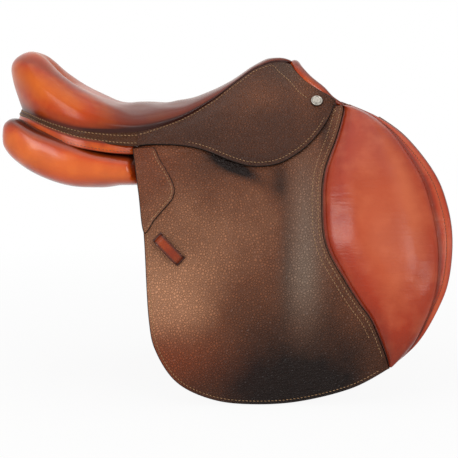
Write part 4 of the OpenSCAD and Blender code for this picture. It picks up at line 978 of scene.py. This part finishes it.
skirtLow = leatherSheet(lowMid, lowNormal, skirt["thick"], [lowMid[:, -1]], skirt["round"], [skirtGroove],
                        skirtTone(lowOut))

foldAxis = unit(hingeAt(100.0) - hingeAt(0.0))
foldUp = foldWay(barrel["hingeX"])
foldUp = unit(foldUp - (foldUp @ foldAxis) * foldAxis)
crowns = pairOf("skirt_crown", skirtCrown, skirtHide, None, ["skirt_top"])
falls = pairOf("skirt_fall", skirtLow, skirtHide, None, ["skirt"])
blendPair(crowns)
blendPair(falls)
print("skirts made")

# bands round the cantle, under the seat's seam: dark strip above, stitched facing below;
# tone and ridge are bells over a band's height, from 0 at its top to 1 at its foot
bands = {"frontHigh": 20.2, "rearHigh": 9.0, "fall": 1.6, "fallRow": 18, "flare": 1.5, "frontFlare": 14.0,
         "flareRows": 1.7, "rearOut": 3.5, "rearRow": 13, "rearRows": 4, "facingHigh": 12.0, "facingUp": 3.0,
         "facingFlare": 2.6, "points": 40, "tallPower": 0.4, "thickPower": 0.55, "insideMm": 9.0,
         "threadIn": 0.15, "steps": 120}
strip = {"start": -0.12, "middle": -1.9, "thick": 3.0, "plain": 0.15, "ridge": [],
         "tone": [[-0.5, 1, 0.12], [-0.4, 0, 0.15]], "seamOut": -0.4, "seams": (0.26, 0.78)}
facing = {"start": 0.2, "middle": -0.6, "thick": 4.0, "plain": 0.0,
          "ridge": [[1.0, 0.38, 0.14], [-0.5, 0.56, 0.035]],
          "tone": [[0.3, 0.4, 0.12], [0.2, 0.75, 0.12], [-0.6, 0.56, 0.03], [-0.7, 1, 0.1],
                   [-0.8, 0.12, 0.1]], "seamOut": 1.4, "seams": (0.76,)}


def bandHigh(s):
    # height of the dark strip: it narrows steadily behind the skirt
    along = (s - skirt["firstRow"]) / (bands["fallRow"] - skirt["firstRow"])
    low = np.minimum(1, along * bands["fall"])
    return bands["frontHigh"] + (bands["rearHigh"] - bands["frontHigh"]) * low


def bandFlare(s):
    # how far the strip's lower edge stands out: near the skirt it swings out to meet the skirt's fold
    return bands["flare"] + bands["frontFlare"] * (1 - ease((s - skirt["firstRow"]) / bands["flareRows"]))


def bandRear(s):
    # the bands' lower edges stand out a little further behind the cantle
    return bands["rearOut"] * ease((s - bands["rearRow"]) / bands["rearRows"])


def seatOutward(s):
    # level direction out from the spine at the seat's edge
    return unit((seatEdge(s) - seatMid(s)) * [1, 1, 0])


def bandShape(look, s, flare, topDrop, high):
    # a rounded flat section carried along the seat's edge from the left end round the cantle to the right end
    q = aroundTurn(bands["points"])
    tall = power(np.sin(q), bands["tallPower"])
    share = (1 - tall) / 2
    face = look["thick"] / 2 * power(np.cos(q), bands["thickPower"])
    face = face + np.where(np.cos(q) > 0, bells(share, look["ridge"]), 0)
    across = look["middle"] + face + (flare + bandRear(s))[:, None] * share
    profile = np.stack([across, -topDrop[:, None] - high[:, None] / 2 * (1 - tall)], -1)
    path = np.concatenate([seatEdge(s), seatEdge(s)[-2::-1] * mirror])
    out = np.concatenate([seatOutward(s), seatOutward(s)[-2::-1] * mirror])
    profile = np.concatenate([profile, profile[-2::-1]])
    tone = look["plain"] + bells(share, look["tone"])
    marks = {"tone": np.tile(tone, len(path)), "edgeMm": np.full(len(path) * len(q), bands["insideMm"])}
    return carriedTube(path, out, np.tile([0, 0, 1.0], (len(path), 1)), profile, marks)


def bandRows(look, s, flare, topDrop, high):
    # stitch lines on a band's outer face, each at a share of its height
    made = []
    for share in look["seams"]:
        line = seatEdge(s) + seatOutward(s) * (look["seamOut"] + (flare + bandRear(s)) * share)[:, None]
        line = line - np.array([0, 0, 1.0]) * (topDrop + share * high)[:, None]
        made.append(stitchRow(line, seatOutward(s), sink=bands["threadIn"]))
    return made


stripS = np.linspace(skirt["firstRow"] + strip["start"], lastRow, bands["steps"])
stripRun = (strip, stripS, bandFlare(stripS), skirt["seamGap"] + 0 * stripS, bandHigh(stripS))
facingS = np.linspace(skirt["firstRow"] + facing["start"], lastRow, bands["steps"])
# the facing: a smooth bead above a stitched half, with its top tucked in behind the strip
facingTop = skirt["seamGap"] + bandHigh(facingS) - bands["facingUp"]
facingRun = (facing, facingS, bands["facingFlare"] + 0 * facingS, facingTop,
             bands["facingUp"] + bands["facingHigh"] + 0 * facingS)
stripPiece = makePiece("cantle_band", **bandShape(*stripRun))
finishPiece(stripPiece, "saddle", stripHide, ["cantle_strip"])
facingPiece = makePiece("cantle_facing", **bandShape(*facingRun))
finishPiece(facingPiece, "saddle", trimCalf, ["rear_facing"])

# padded roll round the pommel's front edge, thinner and darker towards its two ends
roll = {"radius": 7.2, "tuck": 5.0, "steps": 12, "points": 28, "endRise": 17, "endFlat": 0.7,
        "thin": 0.45, "thinFrom": 0.45, "thinFade": 0.4, "plain": -0.35, "sides": 0.3,
        "endDark": 0.4, "darkFrom": 0.4,
        "path": [[1.0203, 0, 0.835], [1.0235, 0.122, 0.828], [1.036, 0.278, 0.755], [1.066, 0.404, 0.635],
                 [1.107, 0.491, 0.514], [1.128, 0.53, 0.45], [1.15, 0.55, 0.39], [1.19, 0.54, 0.3]]}


def pommelRoll():
    # a circle carried along the edge from its right end to its left; fromEnd is the share of half the path
    half = onSeat(smoothLine(roll["path"], roll["steps"])) - [roll["tuck"], 0, 0]
    path = np.concatenate([half[:0:-1] * mirror, half])
    go = unit(np.gradient(path, axis=0))
    out = unit(np.cross([0, 0, 1.0], go))
    q = aroundTurn(roll["points"])
    order = np.arange(len(path))
    fromEnd = np.minimum(order, order[::-1]) / len(half)
    rounded = np.sqrt(1 - np.clip(1 - fromEnd * roll["endRise"], 0, 1) ** 2 * roll["endFlat"])
    thinned = 1 - roll["thin"] * ease((roll["thinFrom"] - fromEnd) / roll["thinFade"])
    fat = roll["radius"] * rounded * thinned
    ends = roll["endDark"] * ease((roll["darkFrom"] - fromEnd) / roll["thinFade"])
    tone = roll["plain"] - roll["sides"] * np.cos(2 * q) - ends[:, None]
    profile = fat[:, None, None] * np.stack([np.sin(q), np.cos(q)], -1)
    return carriedTube(path, out, np.cross(go, out), profile, {"tone": tone})


rollPiece = makePiece("pommel_roll", **pommelRoll())
finishPiece(rollPiece, "saddle", trimCalf, ["pommel_facing"])
print("bands and pommel roll made")

# panels: stuffed cushions, held in by the sweat flap where they meet it; rows from the rear to the front are
# place along, middle and half size across, middle and half size in height
panel = {"rearX": -321.0, "length": 1.1929 * seatLength, "half": 45.0, "high": 30.0, "square": 2.7,
         "tuckX": -128.0, "tuckSlope": 2, "tuckSoft": 1.2, "wall": 479.7, "steps": 12, "points": 72,
         "rows": [[0, 1.47, 2.28, 0.09, 0.12], [0.011, 1.47, 2.3, 0.49, 0.62],
                  [0.045, 1.54, 2.12, 0.75, 0.98], [0.11, 1.69, 1.62, 0.93, 1.06],
                  [0.2, 1.77, 1.15, 1, 1.06], [0.296, 1.78, 0.85, 1, 0.85],
                  [0.385, 1.78, 0.74, 0.98, 0.73], [0.51, 1.78, 0.69, 0.93, 0.67],
                  [0.68, 1.82, 0.66, 0.88, 0.63], [0.83, 1.91, 0.64, 0.84, 0.63],
                  [0.93, 2.04, 0.6, 0.71, 0.6], [0.98, 2.15, 0.57, 0.44, 0.43], [1, 2.2, 0.57, 0.09, 0.13]],
         "sideTone": [[0.35, -0.1, 0.5]], "sideX": -90, "sideFade": 60, "noseRows": 2.2,
         "tone": [[-1.0, 1, 0.5], [-0.35, -1, 0.2]], "tuckTone": [[-0.3, -128, 12]],
         "holdHigh": (0.35, 0.4), "holdX": (-165, 25),
         "voxel": 6.0, "pressure": 40.0, "slack": 0.022}


def panelCushion():
    # each section is a squarish oval, |cos|^(2/square) across and |sin|^(2/square) high; its outer side
    # gives way softly to the sweat flap's wall, which ends at tuckX
    last = len(panel["rows"]) - 1
    s = np.linspace(0, last, last * panel["steps"] + 1)
    row = rowsAt(panel["rows"], s)[:, :, None]
    q = aroundTurn(panel["points"])
    x = panel["rearX"] + row[:, 0] * panel["length"] + 0 * q
    y = panel["half"] * (row[:, 1] + row[:, 3] * power(np.cos(q), 2 / panel["square"]))
    z = panel["high"] * (row[:, 2] + row[:, 4] * power(np.sin(q), 2 / panel["square"]))
    wall = onBarrel(np.stack([x, z], -1), panel["wall"])[..., 1]
    most = wall + panel["tuckSlope"] * np.maximum(0, panel["tuckX"] - x)
    y = -panel["tuckSoft"] * np.logaddexp(-y / panel["tuckSoft"], -most / panel["tuckSoft"])
    level = np.sin(q) + 0 * x
    # tone: a painted highlight along the side's middle towards the rear, painted shade along the top under
    # the facing and where the side tucks behind the sweat flap, darker along the underside
    tone = bells(level, panel["sideTone"]) * ease((panel["sideX"] - x) / panel["sideFade"])
    tone = tone + bells(level, panel["tone"]) + bells(x, panel["tuckTone"])
    shape = closedTube(np.stack([x, y, z], -1), {"tone": tone * ease(s / panel["noseRows"])[:, None]})
    level = np.append(level, [0, 0])
    along = np.append(x, x[[0, -1], 0])
    hold = np.maximum(*(ease((v - start) / fade) for v, (start, fade) in
                        ((level, panel["holdHigh"]), (along, panel["holdX"]))))
    return puffed(shape, hold, panel["voxel"], panel["pressure"], panel["slack"])


for piece in pairOf("panel_cushion", panelCushion(), panelCalf, "saddle",
                    ["panel"]).values():
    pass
print("panels made")

# nail: a turned head with a raised rim and a low dome, as radius and height from its seat
nail = {"row": 2, "share": 0.68, "seat": 0.9, "radius": 8.5, "steps": 4, "points": 56,
        "turned": [[0, 3.3], [2.2, 3.2], [4.2, 2.9], [5.6, 2.4], [6.1, 2.25], [6.5, 2.55], [7.1, 2.9],
                   [7.7, 2.85], [8.2, 2.3], [8.45, 1.3], [8.5, 0.3], [8.2, 0], [0, 0]]}


def nailHead():
    # the turned profile swept round the leather's normal, at a share of the way down from the pommel's corner
    place, normal = skirtTop(onSeat(skirt["pommel"][nail["row"]])[None], np.array([nail["share"]]))
    turned = smoothLine(nail["turned"], nail["steps"])[:, None]
    q = aroundTurn(nail["points"])[:, None]
    level = np.array([1.0, 0, 0])
    ring = np.cos(q) * level + np.sin(q) * np.cross(normal, level)
    wide = np.clip(turned[..., :1], 0, nail["radius"])
    points = place + normal * nail["seat"] + turned[..., 1:] * normal + wide * ring
    return {"points": points.reshape(-1, 3), "faces": gridQuads(len(turned), nail["points"], True)}


head = nailHead()
heads = joined(*({**head, "points": head["points"] * [1, side, 1]} for side in sides.values()))
finishPiece(makePiece("skirt_nail_heads", **heads), "saddle", nickelPlate, ["skirt_nails"])

# the skirt's upper seam runs along the seat, then round a corner and down to the nail
upperSeam = {"in": 6.5, "fromX": 66.0, "toX": 112.0, "share": 0.11, "fall": 0.50, "bend": 0.8,
             "steps": 60, "points": 500, "soft": 25}


def padSeam():
    # a line inside the pad's front edge, sunk into the cover's groove
    b = np.linspace(*pad["seamRun"])
    edge = np.full_like(b, pad["edge"])
    width = np.linalg.norm(padPlace(edge, b) - padPlace(0 * b, b), axis=-1)
    line = onBarrel(padPlace(edge - pad["stitchIn"] / width, b), pad["base"] + pad["leather"] - pad["seamIn"])
    return stitchRow(line, barrelNormal(line), pad["seamPitch"])


def skirtSeam():
    # places and normals as six columns: a set distance in from the seat, then a growing share of the way
    # down; a running mean over about 14 mm rounds the corner
    steps = np.linalg.norm(np.diff(topOut, axis=1), axis=-1)
    run = np.concatenate([np.zeros((len(topOut), 1)), np.cumsum(steps, 1)], 1)
    rows = np.flatnonzero(topLine[:, 0] < upperSeam["fromX"])
    pick = np.abs(run - upperSeam["in"]).argmin(1)[rows]
    k = np.linspace(0, 1, upperSeam["steps"])
    x = upperSeam["fromX"] + (upperSeam["toX"] - upperSeam["fromX"]) * k
    above = np.stack([np.interp(x, topLine[:, 0], column) for column in topLine.T], -1)
    places, normals = skirtTop(above, upperSeam["share"] + upperSeam["fall"] * k ** upperSeam["bend"])
    line = np.hstack([np.vstack([topOut[rows, pick], places]), np.vstack([topNormal[rows, pick], normals])])
    line = evenLine(line, np.linspace(0, lineLength(line), upperSeam["points"]))
    mean = np.full(upperSeam["soft"], 1 / upperSeam["soft"])
    wide = np.pad(line, ((len(mean) // 2, len(mean) // 2), (0, 0)), "edge")
    soft = np.stack([np.convolve(column, mean, "valid") for column in wide.T], -1)
    return stitchRow(soft[:, :3], unit(soft[:, 3:]))


gripOut = layers["grip"][1] - seams["threadIn"]
patchOut = layers["patch"][1] - seams["patchThreadIn"]
seamLines = {"back": (flapBack, gripOut), "grip": (gripEdge, gripOut), "gripInner": (gripEdge, gripOut),
             "patch": (patchFront, patchOut)}
flapSeams = []
for name, (line, radius) in seamLines.items():
    inset, ends = seams[name]
    flapSeams.append(stitchRow(*insetLine(line, inset, radius, ends)))
pairOf("flap_stitching", joined(*flapSeams), threadWax, "flap_*")
pairOf("keeper_stitching", joined(*keeperSeams), threadDark, "flap_*")
pairOf("pad_stitching", padSeam(), threadDark, "flap_*")

hanging = edgeLine[hingeAt(edgeLine[:, 0])[:, 2] - edgeLine[:, 1] > skirt["seamTop"]]
skirtRow = insetLine(hanging, skirt["stitchIn"], barrel["radius"] - skirt["threadIn"], skirt["seamEnds"])
skirtThreads = pairOf("skirt_stitching", stitchRow(*skirtRow), threadWax, None)
blendPair(skirtThreads)
pairOf("seat_stitching", joined(skirtSeam(), *bandRows(*stripRun)), threadWax, "saddle")
pairOf("facing_stitching", joined(*bandRows(*facingRun)), threadDark, "saddle")
print("stitching made")

# solids that stay as they are, each with its own finish, by how their names start
finishes = {"saddle_tree": beechPly, "head_plate": springSteel, "tree_springs": springSteel,
            "spring_rivets": forgedSteel, "bar_rivets": forgedSteel, "catch_pins": forgedSteel,
            "stirrup_bar": forgedSteel, "bar_catch": forgedSteel, "straining_web": linenWeb,
            "girth_web": linenWeb, "panel_channel": trimCalf, "billet": strapHide}
for name, node in cadNodes.items():
    for start, material in finishes.items():
        if name.startswith(start):
            node.data.materials.clear()
            node.data.materials.append(material)

# camera at the photo's angle: 7 degrees above, two metres off the right side
view = {"at": (0.0, -1.985, 0.171), "to": (0.0, 0.0, -0.073), "lens": 106.2, "sensor": 36.0}
# studio light: a broad overhead softbox, a smaller key from the left, one beside the camera and a low fill;
# each has its place, what it faces, its size in metres and its power in watts
lamps = {"overhead": ((0.0, -0.3, 1.7), (0.0, 0.0, 0.0), 2.2, 16),
         "key": ((-1.3, -1.9, 0.75), (0.0, 0.0, -0.05), 1.2, 26),
         "front": ((1.1, -2.1, 0.7), (0.1, 0.0, -0.05), 0.8, 9),
         "fill": ((1.7, -1.5, 0.2), (0.1, 0.0, -0.1), 0.4, 3)}
studio = {"sky": "#F4F5F7", "skyLight": 0.26, "paper": "#F2F2F0", "floorZ": -293.5, "floorHalf": 8000.0,
          "fade": (0.3, 1.5, 0.92, 1.0)}


def aimed(name, data, at, to):
    # a camera or lamp at one place that faces another
    holder = bpy.data.objects.new(name, data)
    holder.location = at
    holder.rotation_mode = "QUATERNION"
    holder.rotation_quaternion = (Vector(to) - Vector(at)).to_track_quat("-Z", "Y")
    bpy.context.scene.collection.objects.link(holder)
    return holder


def seenBy(tree, *rays):
    # 1 for rays of these kinds, 0 for the light that falls on the object
    path = addNode(tree, "LightPath").outputs
    seen = path[rays[0]]
    for ray in rays[1:]:
        seen = maths(tree, "MAXIMUM", seen, path[ray])
    return seen


lens = bpy.data.cameras.new("camera")
lens.lens = view["lens"]
lens.sensor_width = view["sensor"]
bpy.context.scene.camera = aimed("camera", lens, view["at"], view["to"])
for name, (at, to, size, watts) in lamps.items():
    lamp = bpy.data.lights.new(name, "AREA")
    lamp.shape = "SQUARE"
    lamp.size = size
    lamp.energy = watts
    aimed(name, lamp, at, to)

# the sky lights the object dimly, and is white where the camera or a reflection sees it
world = bpy.data.worlds.new("studio")
world.use_nodes = True
bpy.context.scene.world = world
tree = world.node_tree
tree.nodes.clear()
seen = seenBy(tree, "Is Camera Ray", "Is Transmission Ray", "Is Glossy Ray")
dim = addNode(tree, "Background", values={"Color": toLinear(studio["sky"]), "Strength": studio["skyLight"]})
white = addNode(tree, "Background", values={"Color": (1, 1, 1, 1), "Strength": 1.0})
both = addNode(tree, "MixShader", {0: seen, 1: dim.outputs[0], 2: white.outputs[0]})
addNode(tree, "OutputWorld", {"Surface": both.outputs[0]})

# plain pale paper just under the flaps' feet; most of what the camera sees of it is plain white
floorLook, tree, place = startMaterial("matt_paper_sweep")
away = addNode(tree, "VectorMath", {0: place}, operation="LENGTH").outputs["Value"]
fade = between(tree, away, *studio["fade"])
seen = maths(tree, "MULTIPLY", seenBy(tree, "Is Camera Ray", "Is Glossy Ray"), fade)
matt = addNode(tree, "BsdfDiffuse", values={"Color": toLinear(studio["paper"])})
white = addNode(tree, "Emission", values={"Color": (1, 1, 1, 1), "Strength": 1.0})
both = addNode(tree, "MixShader", {0: seen, 1: matt.outputs[0], 2: white.outputs[0]})
addNode(tree, "OutputMaterial", {"Surface": both.outputs[0]})
square = np.array([[-1, -1, 0], [1, -1, 0], [1, 1, 0], [-1, 1, 0]]) * studio["floorHalf"]
floor = makePiece("floor", square + [0, 0, studio["floorZ"]], [[0, 1, 2, 3]], outward=False)
floor.data.materials.append(floorLook)

bpy.context.scene.view_settings.view_transform = "Standard"
